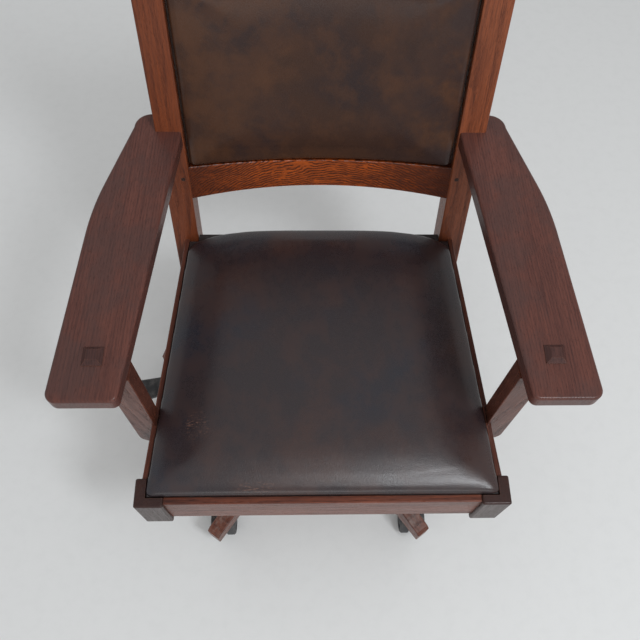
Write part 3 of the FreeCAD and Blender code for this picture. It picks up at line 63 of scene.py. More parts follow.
# %% A bench for wiring nodes
class Bench:
    """Adds nodes to one tree. An input is given a number, a colour or another node's output."""

    def __init__(self, tree):
        self.tree = tree

    def node(self, kind, inputs=None, **settings):
        """One node, with its settings first, because they decide which inputs it has."""
        made = self.tree.nodes.new(kind)
        for name, value in settings.items():
            setattr(made, name, value)
        for name, value in (inputs or {}).items():
            if isinstance(value, bpy.types.NodeSocket):
                self.tree.links.new(value, made.inputs[name])
            else:
                made.inputs[name].default_value = value
        return made

    def math(self, operation, first, second=0.0):
        """A sum, product or other operation on two numbers."""
        return self.node("ShaderNodeMath", {0: first, 1: second}, operation=operation).outputs[0]

    def vector(self, operation, first, second=(0, 0, 0), output=0):
        """The same on two vectors. Output 1 is the one that holds a length or a dot product."""
        return self.node("ShaderNodeVectorMath", {0: first, 1: second},
                         operation=operation).outputs[output]

    def part(self, vector, axis):
        """The X, Y or Z of a vector, for the axis 0, 1 or 2."""
        return self.node("ShaderNodeSeparateXYZ", {0: vector}).outputs[axis]

    def normal(self):
        """Where the surface faces."""
        return self.node("ShaderNodeNewGeometry").outputs["Normal"]

    def own_place(self):
        """The place on the object, in metres from its origin."""
        return self.node("ShaderNodeTexCoord").outputs["Object"]

    def noise(self, place, per_metre=None, detail=2.0, roughness=0.5):
        """Noise with about so many patches per metre: one number, or one each along X, Y and Z."""
        if per_metre:
            place = self.vector("MULTIPLY", place, np.broadcast_to(per_metre, 3).tolist())
        return self.node("ShaderNodeTexNoise", {
            "Vector": place, "Scale": 1.0, "Detail": detail, "Roughness": roughness,
        }).outputs["Fac"]

    def ramp(self, value, low, high, out_low=0.0, out_high=1.0):
        """Where the value stands between low and high, eased and carried to another range."""
        return self.node("ShaderNodeMapRange", {0: value, 1: low, 2: high, 3: out_low, 4: out_high},
                         interpolation_type="SMOOTHSTEP").outputs[0]

    def blend(self, share, first, second):
        """A colour that goes from the first to the second as the share goes from 0 to 1."""
        mix = self.node("ShaderNodeMix", {0: share, 6: first, 7: second}, data_type="RGBA")
        return mix.outputs[2]


print("a bench with", len([word for word in vars(Bench) if not word.startswith("_")]), "tools")

# %% [markdown]
# An effect that several finishes share, such as grain or worn edges, is built once as a shader
# group. A group is a small machine with named inputs and outputs, and each material that holds it
# sets the inputs to its own values.

# %% An empty shader group
SOCKETS = {"vector": "NodeSocketVector", "colour": "NodeSocketColor", "value": "NodeSocketFloat"}


def new_group(name, inputs, outputs):
    """An empty shader group with named sockets.

    It returns the group, a bench on it, the sockets of its inputs, and its output node.
    """
    group = bpy.data.node_groups.new(name, "ShaderNodeTree")
    for label, kind in inputs.items():
        group.interface.new_socket(name=label, in_out="INPUT", socket_type=SOCKETS[kind])
    for label, kind in outputs.items():
        group.interface.new_socket(name=label, in_out="OUTPUT", socket_type=SOCKETS[kind])
    bench = Bench(group)
    return group, bench, bench.node("NodeGroupInput").outputs, bench.node("NodeGroupOutput")


print("groups with", len(SOCKETS), "kinds of socket")

# %% [markdown]
# Oak shows several things at once: rings that run as lines along the board, streaks and fibres
# finer than a millimetre, and open pores as short dark dashes. A photograph of oak would slide and
# repeat. A formula in space does not, so the group takes a place measured from the heart of the
# tree, with X along the grain, and its noises are stretched along X.

# %% Oak grain as a shader group
oak_grain, bench, given, result = new_group(
    "oak_grain",
    {"Place": "vector", "Pale": "colour", "Dark": "colour", "Ring Step": "value", "Rings": "value"},
    {"Colour": "colour", "Roughness": "value", "Height": "value"})
SWAY = 0.016
place = given["Place"]
sway = bench.noise(place, (2.2, 9.0, 9.0))
sideways = bench.node("ShaderNodeCombineXYZ", {1: sway, 2: sway}).outputs[0]
swayed = bench.vector("ADD", place, bench.vector("MULTIPLY", sideways, (0, SWAY, SWAY)))
from_heart = bench.vector("LENGTH", bench.vector("MULTIPLY", swayed, (0, 1, 1)), output=1)
ring = bench.math("FRACT", bench.math("DIVIDE", from_heart, given["Ring Step"]))
early = bench.math("SUBTRACT", 1.0, bench.ramp(ring, 0.0, 0.55))
broad = bench.noise(place, (3.0, 65.0, 65.0), 2.0, 0.5)
streak = bench.noise(place, (11.0, 260.0, 260.0), 3.0, 0.6)
fibre = bench.noise(place, (38.0, 850.0, 850.0), 2.0, 0.6)
pore_noise = bench.noise(place, (95.0, 2100.0, 2100.0), 1.0, 0.5)
pore_edge = bench.math("SUBTRACT", 0.66, bench.math("MULTIPLY", early, 0.1))
pore = bench.ramp(bench.math("SUBTRACT", pore_noise, pore_edge), 0.0, 0.05)
cloud = bench.noise(place, (3.0, 11.0, 11.0), 2.0, 0.5)
darkness = 0.0
for share, layer in (
        (given["Rings"], early), (0.18, broad), (0.40, streak), (0.42, fibre), (0.38, cloud)):
    darkness = bench.math("ADD", darkness, bench.math("MULTIPLY", layer, share))
tone = bench.ramp(darkness, 0.46, 0.98)
colour = bench.blend(tone, given["Pale"], given["Dark"])
colour = bench.blend(bench.math("MULTIPLY", pore, 0.5), colour, given["Dark"])
rough = bench.math("ADD", bench.ramp(streak, 0.3, 0.7, 0.26, 0.36),
                   bench.math("MULTIPLY", pore, 0.25))
height = bench.math("SUBTRACT", bench.math("MULTIPLY", fibre, 0.35), pore)
for label, value in (("Colour", colour), ("Roughness", rough), ("Height", height)):
    bench.tree.links.new(value, result.inputs[label])
print("oak_grain has", len(oak_grain.nodes), "nodes")

# %% [markdown]
# Where a board is cut towards the heart, the tree's rays lie in its face as flecks that cross the
# grain in sweeping arcs. On the back rails they are the first thing one sees. The group draws arcs
# round a centre, bends them with slow noise, and breaks them up so that no arc runs on for long.

# %% Ray fleck as a shader group
ray_fleck, bench, given, result = new_group(
    "ray_fleck", {"Place": "vector", "Centre": "vector", "Step": "value"}, {"Fleck": "value"})
BEND_REACH, RIPPLE_REACH = 0.026, 0.0033
from_centre = bench.vector("SUBTRACT", given["Place"], given["Centre"])
from_centre = bench.vector("MULTIPLY", from_centre, (0.8, 0, 1))
bend = bench.noise(given["Place"], 13.0, 2.0, 0.5)
ripple = bench.noise(given["Place"], 120.0, 1.0, 0.5)
arc = bench.math("ADD", bench.vector("LENGTH", from_centre, output=1),
                 bench.math("MULTIPLY", bend, BEND_REACH))
arc = bench.math("ADD", arc, bench.math("MULTIPLY", ripple, RIPPLE_REACH))
along_arc = bench.math("FRACT", bench.math("DIVIDE", arc, given["Step"]))
line = bench.math("MULTIPLY", bench.ramp(along_arc, 0.1, 0.3),
                  bench.ramp(along_arc, 0.75, 0.45))
broken = bench.ramp(bench.noise(given["Place"], 75.0, 2.0, 0.5), 0.32, 0.50)
bench.tree.links.new(bench.math("MULTIPLY", line, broken), result.inputs["Fleck"])
print("ray_fleck has", len(ray_fleck.nodes), "nodes")

# %% [markdown]
# Hands, sleeves and feet rub the edges of a chair bare long before its faces, and a rounded edge
# catches the light. The mask serves both: worn edges on paint and plastic, and on oak wear together
# with a painted highlight along the rounded edges. The Bevel node gives the normal that a rounded
# edge would have. Where it differs from the true normal there is an edge near by, and some noise
# breaks the line into patches.

# %% Edge wear and painted edge highlight as a shader group
edge_wear_and_highlight, bench, given, result = new_group(
    "edge_wear_and_highlight", {"Place": "vector", "Reach": "value"}, {"Edge Mark": "value"})
soft_normal = bench.node("ShaderNodeBevel", {"Radius": given["Reach"]}, samples=4).outputs[0]
likeness = bench.vector("DOT_PRODUCT", soft_normal, bench.normal(), output=1)
turned_away = bench.math("SUBTRACT", 1.0, likeness)
patch = bench.noise(given["Place"], 60.0, 4.0, 0.65)
# The mask marks edges: the other finishes lay their wear through it, and oak its wear with a painted
# highlight.
edge_mark = bench.math("MULTIPLY", bench.ramp(turned_away, 0.01, 0.2), bench.ramp(patch, 0.35, 0.62))
bench.tree.links.new(edge_mark, result.inputs["Edge Mark"])
print("edge_wear_and_highlight has", len(edge_wear_and_highlight.nodes), "nodes")

# %% [markdown]
# Leather has pebbles a millimetre across, and finer pores inside them. Its dye lies unevenly, so
# the tone drifts from deep to warm to cool over a hand's width. Voronoi cells make the pebbles and
# two slow noises make the drift.

# %% Leather as a shader group
leather_skin, bench, given, result = new_group(
    "leather_skin",
    {"Place": "vector", "Deep": "colour", "Warm": "colour", "Cool": "colour", "Pebble": "value"},
    {"Colour": "colour", "Roughness": "value", "Height": "value"})
place = given["Place"]
cells = bench.vector("SCALE", place)
bench.tree.links.new(bench.math("DIVIDE", 1.0, given["Pebble"]), cells.node.inputs["Scale"])
uneven = bench.node("ShaderNodeTexNoise", {"Vector": cells, "Scale": 0.6, "Detail": 1.0})
bent_cells = bench.vector("ADD", cells, uneven.outputs["Color"])
pebble = bench.node("ShaderNodeTexVoronoi", {"Vector": bent_cells, "Scale": 1.0, "Smoothness": 0.5},
                    feature="SMOOTH_F1").outputs["Distance"]
warm_share = bench.ramp(bench.noise(place, 9.0, 5.0, 0.6), 0.45, 0.68)
cool_share = bench.ramp(bench.noise(place, 6.5, 3.0, 0.55), 0.5, 0.7)
brushed = bench.noise(place, (26.0, 19.0, 22.0), 4.0, 0.65)
colour = bench.blend(warm_share, given["Deep"], given["Warm"])
colour = bench.blend(cool_share, colour, given["Cool"])
colour = bench.blend(bench.ramp(brushed, 0.42, 0.66, 0.0, 0.5), colour, given["Warm"])
crackle = bench.noise(place, (105.0, 90.0, 90.0), 4.0, 0.7)
colour = bench.blend(bench.ramp(crackle, 0.5, 0.66, 0.0, 0.35), colour, given["Deep"])
colour = bench.blend(bench.ramp(pebble, 0.45, 0.8, 0.0, 0.25), colour, given["Deep"])
rough = bench.math("ADD", bench.ramp(brushed, 0.3, 0.7, 0.24, 0.30),
                   bench.ramp(pebble, 0.3, 0.8, 0.0, 0.05))
fold = bench.noise(place, (55.0, 120.0, 80.0), 3.0, 0.5)
height = bench.math("SUBTRACT", bench.math("MULTIPLY", fold, 0.6), pebble)
for label, value in (("Colour", colour), ("Roughness", rough), ("Height", height)):
    bench.tree.links.new(value, result.inputs[label])
print("leather_skin has", len(leather_skin.nodes), "nodes")

# %% [markdown]
# A scuff is a patch of short scratches where something scraped along the surface. The group gives
# a mask: thin stretched noise lines, kept only within a reach of one centre. Leather and metal use
# it with their own centres and colours.

# %% Scuffs as a shader group
scuff_patch, bench, given, result = new_group(
    "scuff_patch", {"Place": "vector", "Centre": "vector", "Reach": "vector"}, {"Scuff": "value"})
offset = bench.vector("SUBTRACT", given["Place"], given["Centre"])
offset = bench.vector("DIVIDE", offset, given["Reach"])
near = bench.math("SUBTRACT", 1.0, bench.ramp(bench.vector("LENGTH", offset, output=1), 0.25, 1.0))
line = bench.noise(given["Place"], (160.0, 620.0, 300.0), 3.0, 0.6)
scuff = bench.math("MULTIPLY", near, bench.ramp(line, 0.54, 0.66))
bench.tree.links.new(scuff, result.inputs["Scuff"])
print("scuff_patch has", len(scuff_patch.nodes), "nodes")

# %% [markdown]
# Moulded plastic and painted metal both have a skin that is not quite smooth: a spark-eroded mould
# leaves fine grit, and powder paint flows into a soft orange peel. One group does both, because
# only the size of the grain and its depth differ. It also drifts the gloss, as wiping does.

# %% Moulded and painted skin as a shader group
coated_skin, bench, given, result = new_group(
    "coated_skin",
    {"Place": "vector", "Base": "colour", "Worn": "colour", "Grain": "value", "Gloss": "value"},
    {"Colour": "colour", "Roughness": "value", "Height": "value"})
grains = bench.vector("SCALE", given["Place"])
bench.tree.links.new(bench.math("DIVIDE", 1.0, given["Grain"]), grains.node.inputs["Scale"])
grit = bench.noise(grains, detail=3.0, roughness=0.6)
wipe = bench.noise(given["Place"], 38.0, 4.0, 0.6)
colour = bench.blend(bench.ramp(wipe, 0.42, 0.7, 0.0, 0.5), given["Base"], given["Worn"])
rough = bench.math("SUBTRACT", bench.ramp(wipe, 0.35, 0.7, 1.02, 0.86), given["Gloss"])
for label, value in (("Colour", colour), ("Roughness", rough), ("Height", grit)):
    bench.tree.links.new(value, result.inputs[label])
print("coated_skin has", len(coated_skin.nodes), "nodes")

# %% [markdown]
# Turned steel keeps fine rings round its axis, and drawn wire keeps lines along it. Both are noise
# squeezed in one direction. The group gives a roughness and a height, and leaves the metal's own
# colour to a small drift, because steel is never one even grey.

# %% Drawn and turned steel as a shader group
steel_lines, bench, given, result = new_group(
    "steel_lines", {"Place": "vector", "Bright": "colour", "Dull": "colour", "Rough": "value"},
    {"Colour": "colour", "Roughness": "value", "Height": "value"})
lines = bench.noise(given["Place"], (240.0, 240.0, 2600.0), 2.0, 0.6)
stain = bench.noise(given["Place"], 70.0, 4.0, 0.65)
colour = bench.blend(bench.ramp(stain, 0.42, 0.66), given["Bright"], given["Dull"])
rough = bench.math("ADD", given["Rough"], bench.ramp(stain, 0.4, 0.7, 0.0, 0.14))
for label, value in (("Colour", colour), ("Roughness", rough), ("Height", lines)):
    bench.tree.links.new(value, result.inputs[label])
print("steel_lines has", len(steel_lines.nodes), "nodes")

# %% [markdown]
# Dust settles on what faces up and lies low. The mask is the upward part of the normal, broken by
# noise. The star base and the casters carry the most of it.

# %% Settled dust as a shader group
settled_dust, bench, given, result = new_group(
    "settled_dust", {"Place": "vector", "Amount": "value"}, {"Dust": "value"})
upward = bench.part(bench.normal(), 2)
drift = bench.noise(given["Place"], 85.0, 4.0, 0.7)
dust = bench.math("MULTIPLY", bench.ramp(upward, 0.35, 1.0), bench.ramp(drift, 0.4, 0.75))
dust = bench.math("MULTIPLY", dust, given["Amount"])
bench.tree.links.new(dust, result.inputs["Dust"])
print("settled_dust has", len(settled_dust.nodes), "nodes")

# %% [markdown]
# A finish is a material that feeds one of these groups into a Principled shader. The helper makes
# the part that all finishes share: the place on the object, the group with its values, and the
# bump from its height.

# %% What every finish shares
def new_finish(name, group, values, bump, turn=(0, 0, 0), start=(0, 0, 0), plain=None):
    """A material from one group: the material, its bench, its place, the group node, its shader.

    Turn and start set the pattern's frame, bump is its depth in metres, and plain holds what is
    the same all over, such as how strongly it reflects.
    """
    material = bpy.data.materials.new(name)
    material.use_nodes = True
    tree = material.node_tree
    tree.nodes.clear()
    bench = Bench(tree)
    place = bench.node("ShaderNodeMapping", {
        "Vector": bench.own_place(), "Location": start, "Rotation": turn,
    }, vector_type="TEXTURE").outputs[0]
    skin = bench.node("ShaderNodeGroup", {"Place": place, **values}, node_tree=group)
    shader = bench.node("ShaderNodeBsdfPrincipled", plain)
    dent = bench.node("ShaderNodeBump", {"Height": skin.outputs["Height"], "Distance": bump})
    tree.links.new(skin.outputs["Colour"], shader.inputs["Base Color"])
    tree.links.new(skin.outputs["Roughness"], shader.inputs["Roughness"])
    tree.links.new(dent.outputs[0], shader.inputs["Normal"])
    output = bench.node("ShaderNodeOutputMaterial")
    tree.links.new(shader.outputs[0], output.inputs[0])
    return material, bench, place, skin, shader


print(len(bpy.data.node_groups), "shader groups to build finishes from")

# %% [markdown]
# Wear lies on top of a finish: the shader's colour is taken off, blended with another one by a
# mask, and put back. Rubbed edges and dust are two such masks, and more can be laid over them.

# %% Wear on top of a finish
DUST = (0.30, 0.28, 0.26, 1)


def tint(bench, shader, mask, colour):
    """Lays a colour over the shader's present colour where the mask is."""
    socket = shader.inputs["Base Color"]
    below = socket.links[0].from_socket
    bench.tree.links.new(bench.blend(mask, below, colour), socket)


def add_edges(bench, place, shader, reach, colour, strength):
    """Edges of one colour on a finish: wear, and on oak also a painted highlight along the rounded
    edges.
    """
    edge = bench.node("ShaderNodeGroup", {"Place": place, "Reach": reach}, node_tree=edge_wear_and_highlight)
    tint(bench, shader, bench.math("MULTIPLY", edge.outputs["Edge Mark"], strength), colour)


def add_dust(bench, place, shader, amount):
    """Grey dust on the upward faces of a finish."""
    dust = bench.node("ShaderNodeGroup", {"Place": place, "Amount": amount}, node_tree=settled_dust)
    tint(bench, shader, dust.outputs["Dust"], DUST)


def dress(material, *names):
    """Gives a material to CAD nodes."""
    for name in names:
        nodes[name].data.materials.clear()
        nodes[name].data.materials.append(material)


print("dust is the colour", DUST)

# %% [markdown]
# Every board of the chair was cut with its grain along its length, so each needs its own frame:
# X along the board, and a start at the heart of the tree it came from. A heart far off to the side
# gives straight lines, and a heart just under the face gives the arches of a flat-sawn board.

# %% Oak for each direction of grain
OAK_PALE = (0.150, 0.046, 0.026, 1)
OAK_DARK = (0.030, 0.0100, 0.0085, 1)
# The oak's edge colour is paler than its boards: partly wear, partly a painted highlight along the
# rounded edges.
OAK_EDGE_WEAR_AND_HIGHLIGHT = (0.200, 0.075, 0.040, 1)
PATCH_GREY = (0.067, 0.0340, 0.0300, 1)
RING_STEP, GRAIN_DEPTH, EDGE_REACH = 0.0033, 0.00018, 0.0022
FLECK_STEP = 0.0039
RAIL_HALF = 0.207
WAXED = {"IOR": 1.36}


def turn_for(along, towards_heart):
    """The turn that carries X onto the board's length and -Z towards the heart, as Euler angles."""
    x = Vector(along).normalized()
    z = -(Vector(towards_heart) - x * Vector(towards_heart).dot(x)).normalized()
    return Matrix((x, z.cross(x), z)).transposed().to_euler("XYZ")


def darker_ends(bench, shader, dark):
    """Darkens a back rail towards its ends."""
    across = bench.math("ABSOLUTE", bench.part(bench.own_place(), 0))
    share = bench.ramp(across, RAIL_HALF * 0.3, RAIL_HALF * 1.05, 0.0, 0.75)
    tint(bench, shader, share, dark)


def grey_patches(bench, shader, amount):
    """Greys the red of the stain in patches."""
    patch = bench.noise(bench.own_place(), (16.0, 11.0, 16.0), 4.0, 0.6)
    share = bench.math("MULTIPLY", bench.ramp(patch, 0.42, 0.62), amount)
    tint(bench, shader, share, PATCH_GREY)


def oak(name, along, towards_heart, heart, pale=OAK_PALE, dark=OAK_DARK, rings=0.07,
        fleck_centre=None, dust=0.0, grey_share=0.0):
    """Oak whose grain runs along one direction, with the heart of the tree at a point.

    Rings says how strongly the year rings show, and a fleck centre adds ray fleck round it.
    """
    material, bench, place, skin, shader = new_finish(
        name, oak_grain, {"Pale": pale, "Dark": dark, "Ring Step": RING_STEP, "Rings": rings},
        GRAIN_DEPTH, turn_for(along, towards_heart), heart, WAXED)
    if fleck_centre:
        fleck = bench.node("ShaderNodeGroup", {
            "Place": bench.own_place(), "Centre": fleck_centre, "Step": FLECK_STEP,
        }, node_tree=ray_fleck)
        tint(bench, shader, bench.math("MULTIPLY", fleck.outputs["Fleck"], 0.92), dark)
        darker_ends(bench, shader, dark)
    if grey_share:
        grey_patches(bench, shader, grey_share)
    # Paler edges: partly wear, partly a painted highlight.
    add_edges(bench, place, shader, EDGE_REACH, OAK_EDGE_WEAR_AND_HIGHLIGHT, 0.4)
    if dust:
        add_dust(bench, place, shader, dust)
    return material


print("a grain direction becomes the angles", [round(a, 2) for a in turn_for((0, 1, 0), (0, 0, -1))])

# %% [markdown]
# The boards differ more than one stain would make them. The blocks at the front are nearly black,
# and the rail between them is redder, and also painted paler as painted light on its front face.
# Braces and bearers are hidden and keep the plain tone.

# %% Boards of the seat frame
# The front rail is redder than plain oak, and painted paler for the light on its front face.
dress(oak("oak_front_rail", (1, 0, 0), (0, 0.2, -1), (0, -0.24, 0.29),
          pale=(0.195, 0.050, 0.022, 1)), "seat_front_rail", "seat_rear_rail")
dress(oak("oak_blocks", (0, 0, 1), (1, 0.4, 0), (0.02, -0.12, 0.4),
          pale=(0.052, 0.022, 0.017, 1), dark=(0.022, 0.009, 0.008, 1)),
      "corner_block_left", "corner_block_right")
dress(oak("oak_braces", (1, 1, 0), (0, 0, -1), (0, 0, 0.32)),
      "corner_braces", "seat_bearer_left", "seat_bearer_right")
print(len(bpy.data.materials), "finishes so far")

# %% [markdown]
# The boards at the two sides are mirror images, so one loop makes both, each with a tree of its
# own. The arms carry grey patches. The posts are the reddest boards, and the right one is painted
# paler than the left: a painted sheen where the light falls on it.

# %% Boards of the two sides
LEAN = math.radians(14.5)
up_the_back = (0, math.sin(LEAN), math.cos(LEAN))
ARM_TONES = {"pale": (0.136, 0.0465, 0.0330, 1), "dark": (0.056, 0.0200, 0.0165, 1)}
# The right post's paler tone is a painted sheen for the light that falls on it.
POST_PALE_AND_RIGHT_SHEEN = {"left": (0.196, 0.049, 0.0172, 1), "right": (0.245, 0.067, 0.0265, 1)}
POST_DARK = (0.064, 0.0160, 0.0078, 1)
for side, name in ((-1, "left"), (1, "right")):
    dress(oak(f"oak_side_rail_{name}", (-side * 0.078, 1, 0), (-1, 0, 0), (0.05 * side, 0, 0.36)),
          f"seat_side_rail_{name}")
    dress(oak(f"oak_arm_{name}", (-side * 0.035, 1, 0), (side * 0.55, 0, -1),
              (side * 0.47, 0.02, 0.50), **ARM_TONES, grey_share=0.6), f"arm_{name}")
    dress(oak(f"oak_support_{name}", (side * 0.15, 0, 1), (0.3, 1, 0), (side * 0.24, 0.05, 0.5)),
          f"arm_support_{name}")
    dress(oak(f"oak_post_{name}", up_the_back, (side * 0.25, 1, 0), (side * 0.2, 0.30, 0.6),
              pale=POST_PALE_AND_RIGHT_SHEEN[name], dark=POST_DARK), f"back_post_{name}")
print(len(bpy.data.materials), "finishes so far")

# %% [markdown]
# Both back rails are cut towards the heart, so they carry the ray fleck. The lower one glows orange
# between its dark flecks. Pegs and pins show end grain, which drinks more stain and turns darker.

# %% Back rails, pegs and pins
dress(oak("oak_lower_back_rail", (1, 0, 0), (0, 0.1, 1), (0.05, 0.30, 0.20), rings=0.05,
          pale=(0.46, 0.088, 0.011, 1), dark=(0.046, 0.0100, 0.004, 1),
          fleck_centre=(0.01, 0, 0.36)), "lower_back_rail")
dress(oak("oak_top_back_rail", (1, 0, 0), (0, 0.1, 1), (-0.05, 0.40, 0.75), rings=0.05,
          pale=(0.21, 0.055, 0.016, 1), fleck_centre=(-0.02, 0, 0.70)), "top_back_rail")
for name, dressed, pale, dark in (
        ("oak_pegs", "arm_pegs", (0.080, 0.031, 0.0250, 1), (0.030, 0.0125, 0.0115, 1)),
        ("oak_pins", "rail_pins", (0.045, 0.016, 0.010, 1), (0.012, 0.005, 0.004, 1))):
    dress(oak(name, (0, 1, 0), (0, 0, -1), (0.1, 0, 0.6), pale=pale, dark=dark), dressed)
print(len(bpy.data.materials), "finishes so far")

# %% [markdown]
# Each leg of the star points its own way, and its grain runs along it. That direction needs no
# number of its own: it goes from the swivel's axis to the middle of the leg's box in the CAD frame.

# %% Legs and hub of the star base
SWIVEL_Y = -0.03305
LEG_PALE = (0.190, 0.062, 0.036, 1)
for number in range(1, 6):
    low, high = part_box(f"base_leg_{number}")
    outward = ((low[0] + high[0]) / 2, (low[1] + high[1]) / 2 - SWIVEL_Y, 0)
    heart = (0, SWIVEL_Y, -0.02 * number)
    dress(oak(f"oak_leg_{number}", outward, (0, 0, -1), heart, pale=LEG_PALE, dust=0.35),
          f"base_leg_{number}")
dress(oak("oak_hub", (0, 0, 1), (1, 0, 0), (0.01, -0.04, 0.1), dust=0.35), "base_hub")
print(len(bpy.data.materials), "finishes so far")

# %% [markdown]
# The board under the seat is plywood. The hide is drawn down over its edges, so only the underside
# shows pale birch. The upward part of the normal tells the two apart.

# %% Plywood of the seat board
HIDE_EDGE = (0.020, 0.0135, 0.013, 1)
plywood, bench, place, skin, shader = new_finish(
    "birch_plywood", oak_grain,
    {"Pale": (0.52, 0.37, 0.21, 1), "Dark": (0.30, 0.19, 0.10, 1), "Ring Step": 0.009, "Rings": 0.1},
    0.0001, turn_for((1, 0, 0), (0, 0, -1)), (0, 0, 0.35))
upward = bench.part(bench.normal(), 2)
tint(bench, shader, bench.ramp(upward, -0.7, -0.2), HIDE_EDGE)
dress(plywood, "seat_board")
print("plywood on", nodes["seat_board"].name)

# %% [markdown]
# The metal and plastic below the seat are hardly seen in use, yet they are what the chair turns
# and tilts on. The pressed and cast parts are powder painted: black, glossy, and bare at the edges.

# %% Black paint
black_paint, bench, place, skin, shader = new_finish(
    "black_paint", coated_skin, {
        "Base": (0.022, 0.022, 0.023, 1), "Worn": (0.040, 0.040, 0.042, 1),
        "Grain": 0.0012, "Gloss": 0.52,
    }, bump=0.00012)
add_edges(bench, place, shader, 0.0012, (0.16, 0.16, 0.165, 1), 0.5)
add_dust(bench, place, shader, 0.25)
dress(black_paint, "column_tube", "mechanism_housing", "seat_plate", "hub_plate")
print(black_paint.name, "has", len(black_paint.node_tree.nodes), "nodes")

# %% [markdown]
# The tube that slides in the column is chromed, so that it wears no groove into its bushing. Pins,
# bolts and screws are plain drawn steel, which is darker and rougher.

# %% Chrome and steel
chrome, bench, place, skin, shader = new_finish(
    "polished_chrome", steel_lines,
    {"Bright": (0.62, 0.63, 0.65, 1), "Dull": (0.50, 0.51, 0.53, 1), "Rough": 0.07}, 0.00001,
    plain={"Metallic": 1.0})
dress(chrome, "pressure_tube")

steel, bench, place, skin, shader = new_finish(
    "drawn_steel", steel_lines,
    {"Bright": (0.48, 0.48, 0.49, 1), "Dull": (0.30, 0.29, 0.28, 1), "Rough": 0.26}, 0.00003,
    plain={"Metallic": 1.0})
dress(steel, "piston_rod", "thrust_bearing", "tilt_pin", "cross_pin", "tension_bolt", "spring_washer",
      "leg_screws", "plate_screws", "frame_screws", "caster_stems", "lever_rod")
print(steel.name, "has", len(steel.node_tree.nodes), "nodes")

# %% [markdown]
# Knobs, hoods and wheels are moulded. The grit of the mould is finer than the paint's peel, and
# floors scuff the wheels grey at their rims.

# %% Moulded plastic
black_plastic, bench, place, skin, shader = new_finish(
    "moulded_black", coated_skin, {
        "Base": (0.026, 0.026, 0.028, 1), "Worn": (0.045, 0.044, 0.044, 1),
        "Grain": 0.0006, "Gloss": 0.45,
    }, bump=0.00010)
add_edges(bench, place, shader, 0.0010, (0.12, 0.12, 0.12, 1), 0.4)
add_dust(bench, place, shader, 0.4)
dress(black_plastic, "column_bushing", "valve_button", "tension_knob", "lever_paddle",
      *(f"caster_{n}_hood" for n in range(1, 6)))

wheel_plastic, bench, place, skin, shader = new_finish(
    "wheel_nylon", coated_skin, {
        "Base": (0.040, 0.040, 0.043, 1), "Worn": (0.085, 0.082, 0.078, 1),
        "Grain": 0.0009, "Gloss": 0.48,
    }, bump=0.00010)
add_edges(bench, place, shader, 0.0014, (0.20, 0.19, 0.18, 1), 0.55)
dress(wheel_plastic, *(f"caster_{n}_wheels" for n in range(1, 6)))
print(len(bpy.data.materials), "finishes")

# %% [markdown]
# A cushion is a closed skin round its stuffing. It begins with its outline seen from above, drawn
# as a closed curve of evenly spaced points with rounded corners.

# %% A rounded outline
def even_outline(corners, radii, count=420):
    """A closed outline through rounded corners, as evenly spaced points.

    Each corner is cut back by its two lengths, and the gap is bridged by the curve
    (1 - t)^2 a + 2 t (1 - t) c + t^2 b, which leaves one side and meets the next without a kink.
    """
    corners = np.array(corners, float)
    t = np.linspace(0, 1, 24)[:, None]
    runs = []
    for before, corner, after, (back_off, go_on) in zip(
            np.roll(corners, 1, 0), corners, np.roll(corners, -1, 0), radii):
        start = corner + (before - corner) / np.linalg.norm(before - corner) * back_off
        end = corner + (after - corner) / np.linalg.norm(after - corner) * go_on
        runs.append((1 - t) ** 2 * start + 2 * t * (1 - t) * corner + t ** 2 * end)
    line = np.vstack(runs + [runs[0][:1]])
    walked = np.concatenate([[0], np.cumsum(np.linalg.norm(np.diff(line, axis=0), axis=1))])
    at = np.linspace(0, walked[-1], count, endpoint=False)
    return np.stack([np.interp(at, walked, line[:, axis]) for axis in (0, 1)], axis=1)


square = even_outline([(-1, -1), (1, -1), (1, 1), (-1, 1)], [(0.2, 0.2)] * 4)
edge_length = np.linalg.norm(square - np.roll(square, 1, axis=0), axis=1).sum()
print("a rounded square, 2 wide:", len(square), "points,", round(float(edge_length), 2), "round it")

# %% [markdown]
# The skin is that outline repeated: drawn in where it is tucked under, out round the side, and then
# in to the middle over the crown. On a grid this is one formula for the whole pad.

# %% A stuffed pad from its outline
def stuffed_pad(outline, tuck, shoulder, edge, crown, flat_share, slack=0.0):
    """Points of a pad, row by row: up from the middle of its base, round its side, over its crown.

    Round the side the angle a runs from 0 to 180 degrees and the height is edge (1 - cos a) / 2. The
    plan is drawn in by d = tuck (1 - sin a) below the widest line and d = shoulder (1 - sin a) above
    it. The crown adds crown (1 - (1 - q / (1 - flat share))^2.6), where q is d as a share of the way
    to the middle, so that nothing above the widest line is flat. Stuffing is thin in corners: all
    heights are cut by slack |u|^3 |v|^3, where u and v run from -1 to 1 across the plan.
    """
    middle = outline.mean(axis=0)
    outward = outline - middle
    reach = np.linalg.norm(outward, axis=1)
    base_shares = np.linspace(0.02, 0.97, 26)[:, None]
    angles = np.linspace(0, math.pi, 30)[:, None]
    crown_shares = np.linspace(0.012, 0.98, 70)[:, None]
    upper = angles > math.pi / 2
    drawn_in = np.where(upper, shoulder, tuck) * (1 - np.sin(angles))
    out_share = np.concatenate([
        (1 - tuck / reach) * base_shares, 1 - drawn_in / reach,
        (1 - shoulder / reach) * (1 - crown_shares)])
    level = np.concatenate([
        base_shares * 0, edge * (1 - np.cos(angles)) / 2, crown_shares * 0 + edge])
    crowned = np.concatenate([base_shares * 0, upper, crown_shares * 0 + 1])
    rise = 1 - np.clip(1 - (1 - out_share) / (1 - flat_share), 0, 1) ** 2.6
    plan = middle + outward * out_share[..., None]
    share = np.abs((plan - middle) / np.ptp(outline, axis=0) * 2) ** 3
    height = (level + crown * rise * crowned) * (1 - slack * share[..., 0] * share[..., 1])
    return np.concatenate([plan, height[..., None]], axis=2)


